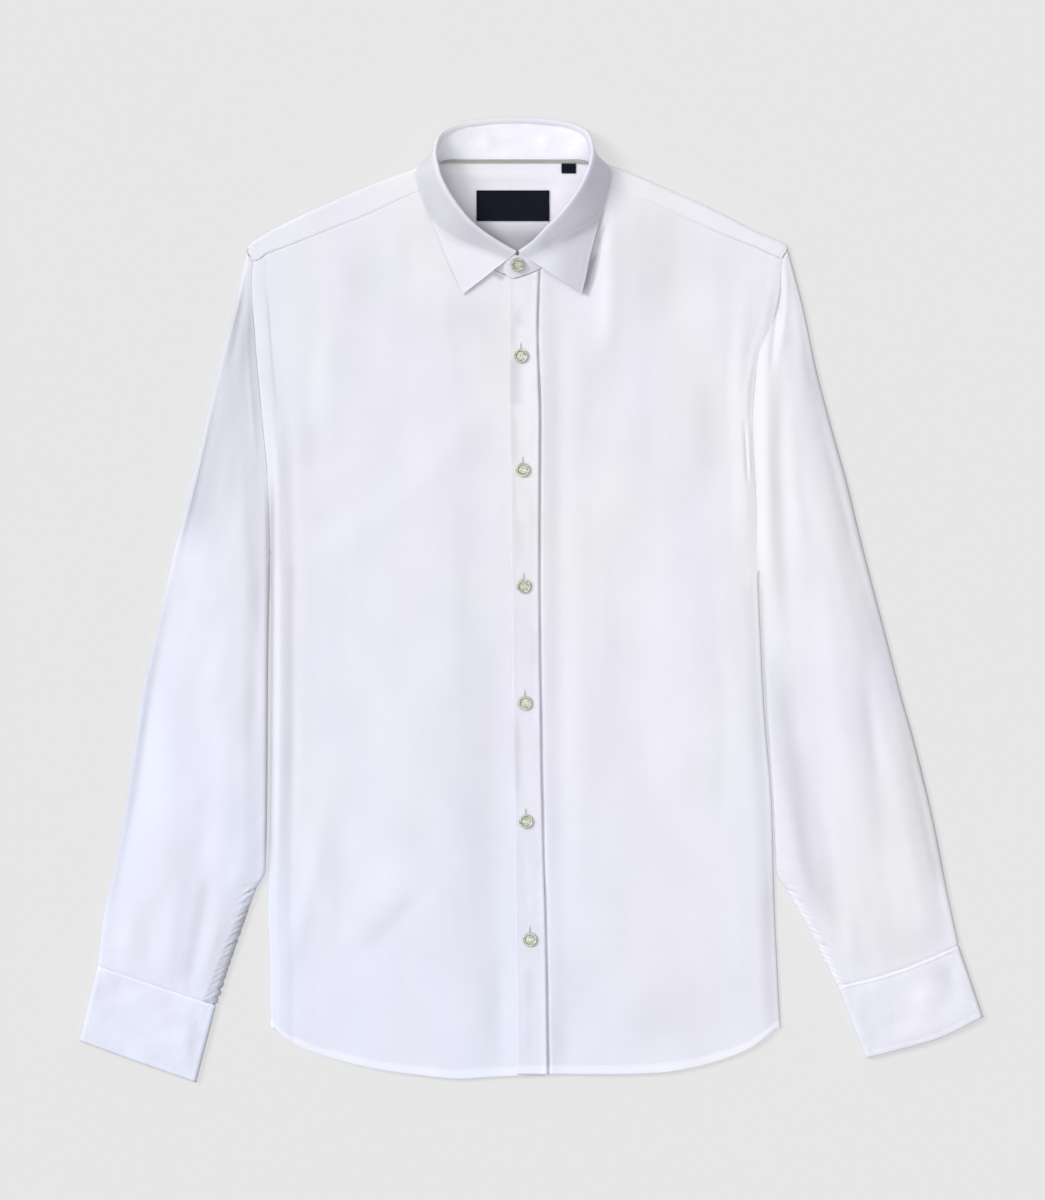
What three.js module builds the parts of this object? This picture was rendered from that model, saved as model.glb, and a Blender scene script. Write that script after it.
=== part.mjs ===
// A long-sleeved button-front shirt, laid flat on its back with the sleeves beside the body.
// Millimetres. +X points to the wearer's left sleeve, +Y to the collar and +Z up from the surface.
// "right" and "left" are the wearer's own, so the right sleeve lies at -X.

import * as THREE from "three";

// Driving sizes
const CLOTH = 1;
const CUFF_CLOTH = 1.4;
const SEAM_GAP = 0.3;
const NECK_GAP = 0.8;
const CUFF_GAP = 0.5;
const LAYER = CLOTH + SEAM_GAP;
const FOLD_HEIGHT = 5.2;
const FOLD_REACH = 4;
const TURN_UNDER = 6;
const EDGE_SPAN = 40;
const OPEN_STRIP = 1.1;
const ARMHOLE_CLOSING = 22;
const LAP_STEP = { from: 1, to: 20 };
const FRONT_INSET = { right: 2, left: 0.8 };
const CUFF_HEIGHT = 6;
const CUFF_ARCH = 2.9;
const CUFF_ARCH_REACH = { level: 19, edge: 31 };
const BACK_YOKE_SEAM = 269;
const BACK_HEM_RISE = 1;
const NECK_REST = 1.35;
const NECK_RAISED = { level: 80, edge: 100, low: 341, high: 353 };
const NECK_EDGE_REACH = 0.4;
const NECK_EDGE_SPAN = { from: 2, to: 14 };
const NECK_TAPE_WIDTH = 4;
const TAPE_RISE = 1.75;
const NECK_MIDDLE = -14;
const NECK_SIDE = { right: -86.5, left: 57.5 };
const BUTTON_RADIUS = 5.75;
const BUTTON_THICKNESS = 2.4;
const BUTTON_SIDES = 24;
const LABEL = { left: -45.5, right: 15, low: 314, high: 339.5 };
const SIZE_TAB = { left: 25, right: 37, low: 353.5, high: 361.6 };
// Heights at which the columns of the panels are spaced out: below the shoulder tips and above the hem
const TOP_LEVEL = 270;
const HEM_LEVEL = -380;

// Edge of the body: the armhole seam down to the armpit, then the folded side
const ARMPIT = { right: 41, left: 25 };
const BODY_EDGE = {
  right: [
    { y: 287, x: -236 },
    { y: 281.5, x: -230 },
    { y: 266, x: -231 },
    { y: 220, x: -228.5 },
    { y: 172, x: -224.5 },
    { y: 102, x: -218 },
    { y: 41, x: -215.7 },
    { y: -34, x: -215.5 },
    { y: -225, x: -217.5 },
    { y: -255, x: -218.5 },
    { y: -305, x: -216.5 },
    { y: -355, x: -216.5 },
  ],
  left: [
    { y: 292, x: 212.5 },
    { y: 283, x: 207 },
    { y: 257, x: 205 },
    { y: 231, x: 199 },
    { y: 195, x: 186 },
    { y: 147, x: 182.5 },
    { y: 97, x: 184.5 },
    { y: 25, x: 187.8 },
    { y: -83, x: 193 },
    { y: -179, x: 200 },
    { y: -240, x: 201.5 },
    { y: -320, x: 205 },
    { y: -355, x: 207 },
  ],
};

// Shoulder line (the folded top edge) and the front seam of the yoke below it
const SHOULDER = [
  { x: -236, fold: 287, seam: 278.5 },
  { x: -226, fold: 297, seam: 283 },
  { x: -195, fold: 315, seam: 295 },
  { x: -162, fold: 330.5, seam: 308.5 },
  { x: -131, fold: 344, seam: 321 },
  { x: -101, fold: 355.5, seam: 335.5 },
  { x: -86, fold: 361, seam: 341.5 },
  { x: -70, fold: 364.5, seam: 346 },
  { x: 42, fold: 364.5, seam: 348 },
  { x: 57, fold: 362, seam: 344.5 },
  { x: 71, fold: 357.5, seam: 340.5 },
  { x: 92, fold: 348.5, seam: 332 },
  { x: 121, fold: 335.5, seam: 318.5 },
  { x: 150, fold: 322, seam: 305.5 },
  { x: 180, fold: 306, seam: 293 },
  { x: 212.5, fold: 292, seam: 281 },
];

// Shirt-tail hem of each front
const HEM = {
  right: [
    { x: -216.5, y: -355 },
    { x: -208.5, y: -363 },
    { x: -192, y: -372 },
    { x: -170, y: -380 },
    { x: -123, y: -391 },
    { x: -93, y: -395 },
    { x: -58, y: -398 },
    { x: -34, y: -396.5 },
    { x: 10, y: -395 },
  ],
  left: [
    { x: -14, y: -393.8 },
    { x: 66, y: -394.3 },
    { x: 105, y: -393 },
    { x: 137.5, y: -388 },
    { x: 164, y: -380.5 },
    { x: 185, y: -371.5 },
    { x: 207, y: -355 },
  ],
};

// Edges of the button placket, from neck to hem
const PLACKET = [
  { y: 275, outer: -19.5, inner: 6 },
  { y: 224, outer: -19, inner: 4.5 },
  { y: 149, outer: -18.5, inner: 6.4 },
  { y: 33, outer: -16.8, inner: 6 },
  { y: -108, outer: -15.4, inner: 7.4 },
  { y: -191, outer: -14.4, inner: 9 },
  { y: -274, outer: -13.4, inner: 11.4 },
  { y: -394, outer: -11.9, inner: 13.2 },
];
const BUTTONS = [
  { x: -8.5, y: 202 },
  { x: -6.9, y: 107.5 },
  { x: -6.1, y: 11 },
  { x: -5.2, y: -86 },
  { x: -4.4, y: -184 },
  { x: -1.1, y: -282 },
];
const COLLAR_BUTTON = { x: -11.5, y: 277.6, z: 9.05, tilt: 17 };

// Collar, a row for each section round the neck from the right point to the left point:
// the neck seam, the fold at the top of the stand, the free edge of the leaf, and the fold's radius
const COLLAR = [
  { seam: [-12, 267, 1.8], fold: [-13.2, 289, 10.6], edge: [-57, 253, 3.2], roll: 1.5 },
  { seam: [-28, 272.5, 1.9], fold: [-22, 294, 13], edge: [-62, 264, 3.2], roll: 1.6 },
  { seam: [-47, 285, 2], fold: [-35, 302, 18], edge: [-68.5, 278.5, 3.3], roll: 1.8 },
  { seam: [-65, 302, 2.2], fold: [-48.5, 312.5, 24], edge: [-74.5, 293, 3.5], roll: 2 },
  { seam: [-78, 321, 2.7], fold: [-61, 327, 30], edge: [-82, 314.5, 4], roll: 2 },
  { seam: [-86, 340, 4.2], fold: [-70, 341, 33], edge: [-90.5, 334.5, 5.2], roll: 2 },
  { seam: [-86.5, 352, 5.8], fold: [-75.5, 354, 34], edge: [-95, 353, 7.3], roll: 2 },
  { seam: [-79, 362.5, 4.8], fold: [-78.5, 370, 29], edge: [-92, 369, 1.6], roll: 2.2 },
  { seam: [-65, 364.8, 2.8], fold: [-75, 385, 19], edge: [-77, 369, 0.6], roll: 2.6 },
  { seam: [-45, 364.8, 2], fold: [-56, 395.5, 10.5], edge: [-54, 359, 0.55], roll: 3 },
  { seam: [-14, 364.8, 1.9], fold: [-14, 399.3, 7.6], edge: [-14, 356, 0.55], roll: 3.2 },
  { seam: [17, 364.8, 2], fold: [27, 395.5, 10.5], edge: [26, 359, 0.55], roll: 3 },
  { seam: [37, 364.8, 2.8], fold: [46.5, 385.5, 19], edge: [48.5, 369, 0.6], roll: 2.6 },
  { seam: [51, 362.5, 4.8], fold: [49.5, 371, 29], edge: [63, 369.5, 1.6], roll: 2.2 },
  { seam: [58, 352, 5.8], fold: [46.5, 356, 34], edge: [65.5, 354, 7.3], roll: 2 },
  { seam: [57, 340, 4.2], fold: [41.5, 344.5, 33], edge: [61, 333, 5.2], roll: 2 },
  { seam: [48, 321, 2.9], fold: [34, 332.5, 30], edge: [56.2, 315.5, 4.6], roll: 2 },
  { seam: [36, 302, 2.8], fold: [24, 320, 25], edge: [52, 298, 4.5], roll: 2 },
  { seam: [22, 286, 3], fold: [12, 308, 19.5], edge: [48.3, 284, 4.5], roll: 1.8 },
  { seam: [6, 274, 4], fold: [0, 296, 14.5], edge: [45, 267, 4.2], roll: 1.6 },
  { seam: [-9, 268, 4.3], fold: [-10.2, 289, 12.2], edge: [42, 253.5, 3.6], roll: 1.5 },
];
const LEAF_SEAM_DROP = 3.5;
const LEAF_BULGE = 2;
// Ends of the stand past the leaf: the right one lies under the left one, which is buttoned over it
const STAND_ENDS = {
  right: [
    { seam: [3, 273, 1.9], top: [3, 279, 4.2] },
    { seam: [-3, 268.4, 1.6], top: [-3, 283.5, 6.3] },
  ],
  left: [
    { seam: [-15.5, 266.5, 4.2], top: [-15.8, 282.6, 9.1] },
    { seam: [-21, 270.5, 5.2], top: [-21.8, 278.5, 7.9] },
  ],
};

// Outer and inner edges of each sleeve, from the shoulder tip and the armpit down to the cuff seam
const SLEEVE = {
  right: {
    outer: [
      { y: 286.4, x: -236.4 },
      { y: 268, x: -240.5 },
      { y: 219, x: -253 },
      { y: 152, x: -269 },
      { y: 89, x: -284 },
      { y: 35, x: -297.5 },
      { y: -15.5, x: -309 },
      { y: -83.5, x: -324 },
      { y: -130, x: -331 },
      { y: -218, x: -345 },
      { y: -258, x: -354 },
      { y: -305, x: -360 },
    ],
    inner: [
      { y: 41, x: -216.2 },
      { y: -34, x: -218 },
      { y: -224, x: -220.3 },
      { y: -241, x: -228.5 },
      { y: -266, x: -237.5 },
      { y: -307.5, x: -251.7 },
      { y: -338, x: -261.7 },
    ],
  },
  left: {
    outer: [
      { y: 291.4, x: 212.9 },
      { y: 243.5, x: 225.5 },
      { y: 190.5, x: 236.7 },
      { y: 147, x: 248 },
      { y: 97, x: 262 },
      { y: 45.5, x: 274.5 },
      { y: -33, x: 295 },
      { y: -83.5, x: 308 },
      { y: -115, x: 317 },
      { y: -185, x: 334 },
      { y: -248.5, x: 346.5 },
      { y: -287.5, x: 355 },
    ],
    inner: [
      { y: 25, x: 188.3 },
      { y: -10, x: 190.4 },
      { y: -83, x: 194.4 },
      { y: -179, x: 201.4 },
      { y: -225, x: 203.2 },
      { y: -240, x: 211.4 },
      { y: -266, x: 226.5 },
      { y: -299, x: 243 },
      { y: -321.5, x: 254.6 },
    ],
  },
};
// Far edge of each cuff, from its outer to its inner corner
const CUFF_END = {
  right: [
    [-375, -366],
    [-327, -383.5],
    [-278, -400.5],
  ],
  left: [
    [375, -346],
    [338.5, -364],
    [300, -375],
    [277.8, -380.5],
  ],
};
const CUFF_SEAM_SAG = { right: 0, left: 4 };

// Broad soft folds of the fronts: a line, the half width of the swell and its height
const SOFT_FOLDS = [
  { from: [-190, -20], to: [-70, 110], width: 34, height: 0.9 },
  { from: [-60, -60], to: [-52, -300], width: 30, height: 0.7 },
  { from: [70, 60], to: [60, -250], width: 32, height: 0.8 },
  { from: [140, 210], to: [150, 60], width: 24, height: 0.8 },
];

// Numbers and curves

const lerp = THREE.MathUtils.lerp;
const smoothstep = THREE.MathUtils.smoothstep;
const degrees = THREE.MathUtils.degToRad;

// A smooth curve through the rows of a table that never overshoots them
function through(keys, values) {
  const last = keys.length - 1;
  const steps = keys.slice(1).map((key, i) => key - keys[i]);
  const rates = steps.map((step, i) => (values[i + 1] - values[i]) / step);
  const slopes = keys.map((_, i) => {
    if (i === 0) {
      return rates[0];
    }
    if (i === last) {
      return rates[last - 1];
    }
    if (rates[i - 1] * rates[i] <= 0) {
      return 0;
    }
    const before = 2 * steps[i] + steps[i - 1];
    const after = steps[i] + 2 * steps[i - 1];
    return (before + after) / (before / rates[i - 1] + after / rates[i]);
  });
  return (at) => {
    const place = THREE.MathUtils.clamp(at, keys[0], keys[last]);
    let i = 0;
    while (i < last - 1 && place > keys[i + 1]) {
      i += 1;
    }
    const t = (place - keys[i]) / steps[i];
    const leaving = slopes[i] * (t - 2 * t * t + t ** 3);
    const arriving = slopes[i + 1] * (t ** 3 - t * t);
    const even = (values[i + 1] - values[i]) * (3 * t * t - 2 * t ** 3);
    return values[i] + even + steps[i] * (leaving + arriving);
  };
}

function column(rows, key, value) {
  const sorted = [...rows].sort((a, b) => a[key] - b[key]);
  return through(sorted.map((row) => row[key]), sorted.map((row) => row[value]));
}

// A smooth line through points, read by the fraction of its length
function line(points) {
  const lengths = [0];
  for (let i = 1; i < points.length; i += 1) {
    const gaps = points[i].map((value, axis) => value - points[i - 1][axis]);
    lengths.push(lengths[i - 1] + Math.hypot(...gaps));
  }
  const total = lengths[lengths.length - 1];
  const fractions = lengths.map((length) => length / total);
  const axes = points[0].map((_, axis) => through(fractions, points.map((point) => point[axis])));
  return (at) => axes.map((axis) => axis(at));
}

function evenly(count, from = 0, to = 1) {
  return Array.from({ length: count + 1 }, (_, i) => lerp(from, to, i / count));
}

const bodyEdge = {
  right: column(BODY_EDGE.right, "y", "x"),
  left: column(BODY_EDGE.left, "y", "x"),
};
const shoulderFold = column(SHOULDER, "x", "fold");
const yokeSeam = column(SHOULDER, "x", "seam");
const hem = {
  right: column(HEM.right, "x", "y"),
  left: column(HEM.left, "x", "y"),
};
const placketOuter = column(PLACKET, "y", "outer");
const placketInner = column(PLACKET, "y", "inner");

// The neck seam in front, from the collar rows of each side and the ends of the stand
const neckRows = (rows, ends) => [...rows, ...ends].map(({ seam }) => ({ x: seam[0], y: seam[1] }));
const frontNeck = {
  right: column(neckRows(COLLAR.slice(0, 6), STAND_ENDS.right.slice(1)), "x", "y"),
  left: column(neckRows(COLLAR.slice(-6), STAND_ENDS.left.slice(0, 1)), "x", "y"),
};

// 1 where the cloth is folded round the side, 0 where it ends at the armhole
function sideClosed(side, y) {
  return smoothstep(ARMPIT[side] - y, 0, ARMHOLE_CLOSING);
}

function softFolds(x, y) {
  let height = 0;
  for (const { from, to, width, height: top } of SOFT_FOLDS) {
    const along = [to[0] - from[0], to[1] - from[1]];
    const length = Math.hypot(...along);
    const t = ((x - from[0]) * along[0] + (y - from[1]) * along[1]) / length;
    const off = ((x - from[0]) * along[1] - (y - from[1]) * along[0]) / length;
    const past = Math.max(0, -t, t - length);
    height += top * Math.exp(-((off * off + past * past) / (width * width)));
  }
  return height;
}

// Height of the lowest front layer's underside over the surface
function frontLift(x, y) {
  const side = x < 0 ? "right" : "left";
  const fromSide = Math.abs(bodyEdge[side](y) - x);
  const nearSide = 1 - smoothstep(fromSide, 0, EDGE_SPAN);
  const nearShoulder = 1 - smoothstep(shoulderFold(x) - y, 0, EDGE_SPAN);
  const near = 1 - (1 - nearSide) * (1 - nearShoulder);
  const swell = softFolds(x, y) * (1 - near);
  return LAYER + (FOLD_HEIGHT - CLOTH - LAYER) * near + swell;
}

// The left front lies on the right front as far as the placket reaches, then on the back
function leftLift(x, y) {
  const inner = placketInner(y);
  return frontLift(x, y) + LAYER * (1 - smoothstep(x, inner + LAP_STEP.from, inner + LAP_STEP.to));
}

// Meshes

// A closed wall through rows of points, as its outer face or, when centred, as its middle.
// The outside is on the right-hand side of the columns when looking along the rows, or on the
// left-hand side when mirrored.
function wall(points, thickness, { ring = false, mirrored = false, centred = false } = {}) {
  const grid = mirrored ? [...points].reverse() : points;
  const rows = grid.length;
  const columns = grid[0].length;
  const lastRow = rows - 1;
  const next = (j) => (ring ? (j + 1) % columns : Math.min(j + 1, columns - 1));
  const previous = (j) => (ring ? (j + columns - 1) % columns : Math.max(j - 1, 0));
  const across = new THREE.Vector3();
  const along = new THREE.Vector3();
  const outer = [];
  const inner = [];
  for (let i = 0; i < rows; i += 1) {
    for (let j = 0; j < columns; j += 1) {
      across.subVectors(grid[i][next(j)], grid[i][previous(j)]);
      along.subVectors(grid[Math.min(i + 1, lastRow)][j], grid[Math.max(i - 1, 0)][j]);
      const normal = across.cross(along).normalize();
      const raised = centred ? thickness / 2 : 0;
      outer.push(grid[i][j].clone().addScaledVector(normal, raised));
      inner.push(grid[i][j].clone().addScaledVector(normal, raised - thickness));
    }
  }
  const count = rows * columns;
  const triangles = [];
  const quad = (a, b, c, d) => triangles.push(a, b, c, a, c, d);
  const spans = ring ? columns : columns - 1;
  for (let i = 0; i < lastRow; i += 1) {
    for (let j = 0; j < spans; j += 1) {
      const a = i * columns + j;
      const b = i * columns + next(j);
      quad(a, b, b + columns, a + columns);
      quad(count + a, count + a + columns, count + b + columns, count + b);
    }
    if (!ring) {
      const first = i * columns;
      const last = first + columns - 1;
      quad(first, first + columns, count + first + columns, count + first);
      quad(last, count + last, count + last + columns, last + columns);
    }
  }
  for (let j = 0; j < spans; j += 1) {
    const end = lastRow * columns;
    quad(j, count + j, count + next(j), next(j));
    quad(end + j, end + next(j), count + end + next(j), count + end + j);
  }
  const geometry = new THREE.BufferGeometry();
  const positions = [...outer, ...inner].flatMap((point) => point.toArray());
  geometry.setAttribute("position", new THREE.Float32BufferAttribute(positions, 3));
  geometry.setIndex(triangles);
  return geometry;
}

const material = (color, roughness) => {
  return new THREE.MeshStandardMaterial({ color, roughness, metalness: 0 });
};
const FINISH = {
  cotton: material("#f1f1f7", 0.85),
  tape: material("#8f958a", 0.9),
  label: material("#1d2233", 0.8),
  button: material("#c9cdc4", 0.3),
};

function piece(name, geometry, finish) {
  geometry.computeVertexNormals();
  const mesh = new THREE.Mesh(geometry, finish);
  mesh.name = name;
  return mesh;
}

// The outer face of a folded edge, by the distance gone round it from its top
function foldedEdge(distance, height, reach) {
  const half = height / 2;
  const girth = (Math.PI / 2) * (reach + half);
  const turn = Math.min(distance / girth, 1) * Math.PI;
  const beyond = Math.max(distance - girth, 0);
  return {
    out: reach * Math.sin(turn) - beyond,
    z: distance > girth ? 0 : half + half * Math.cos(turn),
  };
}

// Body panels

const ROWS_DOWN = [0, 0.03, 0.08, 0.16, 0.26, 0.36, 0.39, 0.42, 0.46, 0.58, 0.74, 0.88, 0.96, 1];
const EDGE_STEPS = [0.13, 0.27, 0.41, 0.55, 0.7, 1];

// One front: centre edge to side, then round the side and a little way under
function frontPanel(side, fractions, centreEdge, lift) {
  const sign = side === "right" ? -1 : 1;
  return ROWS_DOWN.map((down) => {
    const row = [];
    let end = null;
    for (const fraction of fractions) {
      const nominal = lerp(centreEdge(TOP_LEVEL), bodyEdge[side](TOP_LEVEL), fraction);
      const inNeck = insideNeck(side, nominal) > 0;
      const top = inNeck ? frontNeck[side](nominal) : yokeSeam(nominal);
      const bottom = hem[side](lerp(centreEdge(HEM_LEVEL), bodyEdge[side](HEM_LEVEL), fraction));
      const y = lerp(top - (inNeck ? NECK_GAP : SEAM_GAP), bottom, down);
      const closed = sideClosed(side, y);
      const edge = bodyEdge[side](y) - sign * lerp(OPEN_STRIP, FOLD_REACH, closed);
      const x = lerp(centreEdge(y), edge, fraction);
      end = new THREE.Vector3(x, y, lift(x, y) + CLOTH);
      row.push(end);
    }
    const closed = sideClosed(side, end.y);
    const girth = (Math.PI / 2) * (FOLD_REACH + end.z / 2) + TURN_UNDER;
    for (const step of EDGE_STEPS) {
      const { out, z } = foldedEdge(step * girth, end.z, FOLD_REACH);
      const open = new THREE.Vector3(end.x + sign * step, end.y, end.z);
      const folded = new THREE.Vector3(end.x + sign * out, end.y, z);
      row.push(open.lerp(folded, closed));
    }
    return row;
  });
}

const RIGHT_FRACTIONS = [0, 0.08, 0.16, 0.25, 0.33, 0.375, 0.41, 0.5, 0.62, 0.74, 0.84, 0.92, 1];
const LEFT_FRACTIONS = [0, 0.06, 0.12, 0.16, 0.2, 0.26, 0.31, 0.345, 0.44, 0.56, 0.68, 0.8, 0.9, 1];

const rightCentreEdge = (y) => placketInner(y) - FRONT_INSET.right;
const leftCentreEdge = (y) => placketOuter(y) + FRONT_INSET.left;

// Height on the side edge of each row of the body, the same for the back, the fronts and the sleeves
function sideRow(side, down) {
  const top = yokeSeam(bodyEdge[side](TOP_LEVEL)) - SEAM_GAP;
  return lerp(top, BODY_EDGE[side].at(-1).y, down);
}

function backPanel() {
  const top = BACK_YOKE_SEAM - SEAM_GAP;
  return ROWS_DOWN.map((down) => evenly(10).map((fraction) => {
    const nominal = lerp(BODY_EDGE.right.at(-1).x, BODY_EDGE.left.at(-1).x, fraction);
    const half = nominal < 0 ? "right" : "left";
    const fallen = down === 0 ? 0 : (top - sideRow(half, down)) / (top - sideRow(half, 1));
    const y = lerp(top, hem[half](nominal) + BACK_HEM_RISE, fallen);
    const [right, left] = ["right", "left"].map((side) => {
      const inset = lerp(SEAM_GAP / 2, FOLD_REACH + TURN_UNDER + 2 * SEAM_GAP, sideClosed(side, y));
      return bodyEdge[side](y) + (side === "right" ? inset : -inset);
    });
    return new THREE.Vector3(lerp(right, left, fraction), y, 0);
  }));
}

// A strip that lies on the left front, with its edges given as functions of y
function placketStrip() {
  const fractions = [0, 0.33, 0.67, 1];
  return ROWS_DOWN.map((down) => fractions.map((fraction) => {
    const nominal = lerp(placketOuter(TOP_LEVEL), placketInner(TOP_LEVEL), fraction);
    const y = lerp(frontNeck.left(nominal) - NECK_GAP, hem.left(nominal), down);
    const x = lerp(placketOuter(y), placketInner(y), fraction);
    return new THREE.Vector3(x, y, leftLift(x, y) + CLOTH + LAYER);
  }));
}

// Yoke: from its front seams over the shoulders, under, and down to its back seam.
// Between the shoulders it starts at the neck seam, on the layer that lies on the surface.
const YOKE_FRACTIONS = [
  0, 0.06, 0.14, 0.24, 0.34, 0.44, 0.53, 0.58, 0.605, 0.625, 0.65, 0.68, 0.74, 0.86, 1,
];

function neckRise(x, y) {
  const { level, edge, low, high } = NECK_RAISED;
  const beside = 1 - smoothstep(Math.abs(x - NECK_MIDDLE), level, edge);
  return NECK_REST * beside * smoothstep(y, low, high);
}

// Distance from the side of the neck towards its middle
function insideNeck(side, x) {
  return side === "right" ? x - NECK_SIDE.right : NECK_SIDE.left - x;
}

// Heights and places along one column of the yoke: front seam, shoulder fold, underside, back seam
function yokePath(side, x, foldX) {
  const fold = shoulderFold(foldX);
  const seam = yokeSeam(x) + SEAM_GAP;
  const shoulderReach = Math.min(FOLD_REACH, (fold - seam) * 0.45);
  const inNeck = smoothstep(insideNeck(side, x), NECK_EDGE_SPAN.from, NECK_EDGE_SPAN.to);
  const reach = lerp(shoulderReach, NECK_EDGE_REACH, inNeck);
  const level = fold - reach;
  const bottom = neckRise(x, level);
  const half = (frontLift(x, level) + CLOTH - bottom) / 2;
  const path = [seam, lerp(seam, level, 0.5), level].map((y) => [y, frontLift(x, y) + CLOTH]);
  for (const turn of [36, 72, 108, 144, 180]) {
    const angle = degrees(turn);
    path.push([level + reach * Math.sin(angle), bottom + half * (1 + Math.cos(angle))]);
  }
  for (const down of [0.06, 0.13, 0.21, 0.5, 1]) {
    const y = lerp(level, BACK_YOKE_SEAM + SEAM_GAP, down);
    path.push([y, neckRise(x, y)]);
  }
  return path;
}

// Where the cloth starts on that path: 0 at the front seam, 7 past the fold, on the underside
const yokeStart = through([-3, 0, 2, 6, 11, 16], [0, 0.6, 2.4, 5.2, 6.6, 7]);

function yokeColumn(side, fraction) {
  const sign = side === "right" ? -1 : 1;
  const x = lerp(bodyEdge[side](TOP_LEVEL), NECK_MIDDLE, fraction);
  const path = yokePath(side, x, fraction === 0 ? BODY_EDGE[side][0].x - sign : x);
  const last = path.length - 1;
  const start = yokeStart(insideNeck(side, x));
  return path.map((_, step) => {
    const place = lerp(start, last, step / last);
    const i = Math.min(Math.floor(place), last - 1);
    const [y, z] = path[i].map((value, axis) => lerp(value, path[i + 1][axis], place - i));
    return new THREE.Vector3(lerp(bodyEdge[side](y) - sign * SEAM_GAP, NECK_MIDDLE, fraction), y, z);
  });
}

function yokePanel() {
  const left = YOKE_FRACTIONS.slice(0, -1).reverse();
  return [
    ...YOKE_FRACTIONS.map((fraction) => yokeColumn("right", fraction)),
    ...left.map((fraction) => yokeColumn("left", fraction)),
  ];
}

// Sleeves and cuffs

// Outer edge, top, inner edge and underside of a flattened tube, by distance from its outer edge.
// closed is 0 where the tube is open along its inner edge, at the armhole.
function flatTubeSection(width, height, closed) {
  const reach = Math.min(FOLD_REACH, width * 0.4);
  const points = [];
  const half = height / 2;
  const underside = lerp(width, width - reach - TURN_UNDER, closed);
  for (const fraction of [0, 0.5, 1]) {
    points.push([lerp(underside - SEAM_GAP * closed, reach, fraction), 0]);
  }
  for (const turn of [-60, -30, 0, 30, 60, 90]) {
    const angle = degrees(turn);
    points.push([reach - reach * Math.cos(angle), half + half * Math.sin(angle)]);
  }
  const topEnd = lerp(width - OPEN_STRIP, width - reach, closed);
  for (const fraction of [0.25, 0.5, 0.75, 1]) {
    points.push([lerp(reach, topEnd, fraction), height]);
  }
  const girth = (Math.PI / 2) * (reach + half) + TURN_UNDER;
  for (const step of EDGE_STEPS) {
    const { out, z } = foldedEdge(step * girth, height, reach);
    points.push([lerp(topEnd + step, topEnd + out, closed), lerp(height, z, closed)]);
  }
  return points;
}

const SLEEVE_ROWS = [0.46, 0.56, 0.68, 0.77, 0.83, 0.88, 0.94, 1];

function sleeveTube(side) {
  const sign = side === "right" ? -1 : 1;
  const { outer, inner } = SLEEVE[side];
  const outerX = column(outer, "y", "x");
  const innerX = column(inner, "y", "x");
  const top = sideRow(side, 0);
  const bottom = inner.at(-1).y;
  const armhole = ROWS_DOWN.map((down) => sideRow(side, down)).filter((y) => y > ARMPIT[side]);
  const below = SLEEVE_ROWS.map((down) => lerp(top, bottom, down)).filter((y) => y < ARMPIT[side] - 4);
  return [...armhole, ARMPIT[side], ...below].map((y) => {
    const fallen = (top - y) / (top - bottom);
    const far = [0, lerp(outer[0].y, outer.at(-1).y, fallen)];
    far[0] = outerX(far[1]);
    const near = [y >= ARMPIT[side] ? bodyEdge[side](y) + sign * SEAM_GAP : innerX(y), y];
    const width = Math.hypot(near[0] - far[0], near[1] - far[1]);
    const drop = CUFF_SEAM_SAG[side] * smoothstep(fallen, 0.85, 1);
    return flatTubeSection(width, FOLD_HEIGHT, sideClosed(side, y)).map(([distance, z]) => {
      const fraction = distance / width;
      const [x, place] = far.map((value, axis) => lerp(value, near[axis], fraction));
      return new THREE.Vector3(x, place - drop * Math.sin(Math.PI * fraction), z);
    });
  });
}

// Ends of the seam between sleeve and cuff, outer edge first
function cuffSeam(side) {
  return [SLEEVE[side].outer.at(-1), SLEEVE[side].inner.at(-1)].map(({ x, y }) => [x, y]);
}

// Middle of the cuff's underside, where its button lies
function cuffMiddle(side) {
  const corners = [...cuffSeam(side), CUFF_END[side][0], CUFF_END[side].at(-1)];
  return [0, 1].map((axis) => corners.reduce((sum, corner) => sum + corner[axis], 0) / 4);
}

function cuffRing(side) {
  const [outerEnd, innerEnd] = cuffSeam(side);
  const middle = cuffMiddle(side);
  const endEdge = line(CUFF_END[side]);
  const width = Math.hypot(outerEnd[0] - innerEnd[0], outerEnd[1] - innerEnd[1]);
  const half = CUFF_HEIGHT / 2;
  const flat = [0.16, 0.33, 0.5, 0.67, 0.84];
  const turns = [-90, -60, -30, 0, 30, 60, 90].map(degrees);
  const level = (fraction, z) => [lerp(FOLD_REACH, width - FOLD_REACH, fraction), z];
  const ring = [
    ...turns.map((angle) => [FOLD_REACH * (1 - Math.cos(angle)), half * (1 + Math.sin(angle))]),
    ...flat.map((fraction) => level(fraction, CUFF_HEIGHT)),
    ...turns.map((angle) => [width - FOLD_REACH * (1 - Math.cos(angle)), half * (1 - Math.sin(angle))]),
    ...flat.map((fraction) => level(1 - fraction, 0)),
  ];
  return evenly(5).map((down) => ring.map(([distance, z]) => {
    const fraction = distance / width;
    const sag = CUFF_SEAM_SAG[side] * Math.sin(Math.PI * fraction);
    const near = outerEnd.map((value, axis) => lerp(value, innerEnd[axis], fraction) - axis * sag);
    const far = endEdge(fraction);
    const start = CUFF_GAP / Math.hypot(far[0] - near[0], far[1] - near[1]);
    const [x, y] = near.map((value, axis) => lerp(value, far[axis], lerp(start, 1, down)));
    const away = Math.hypot(x - middle[0], y - middle[1]);
    const arch = CUFF_ARCH * (1 - smoothstep(away, CUFF_ARCH_REACH.level, CUFF_ARCH_REACH.edge));
    return new THREE.Vector3(x, y, z + arch);
  }));
}

// Collar

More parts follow.
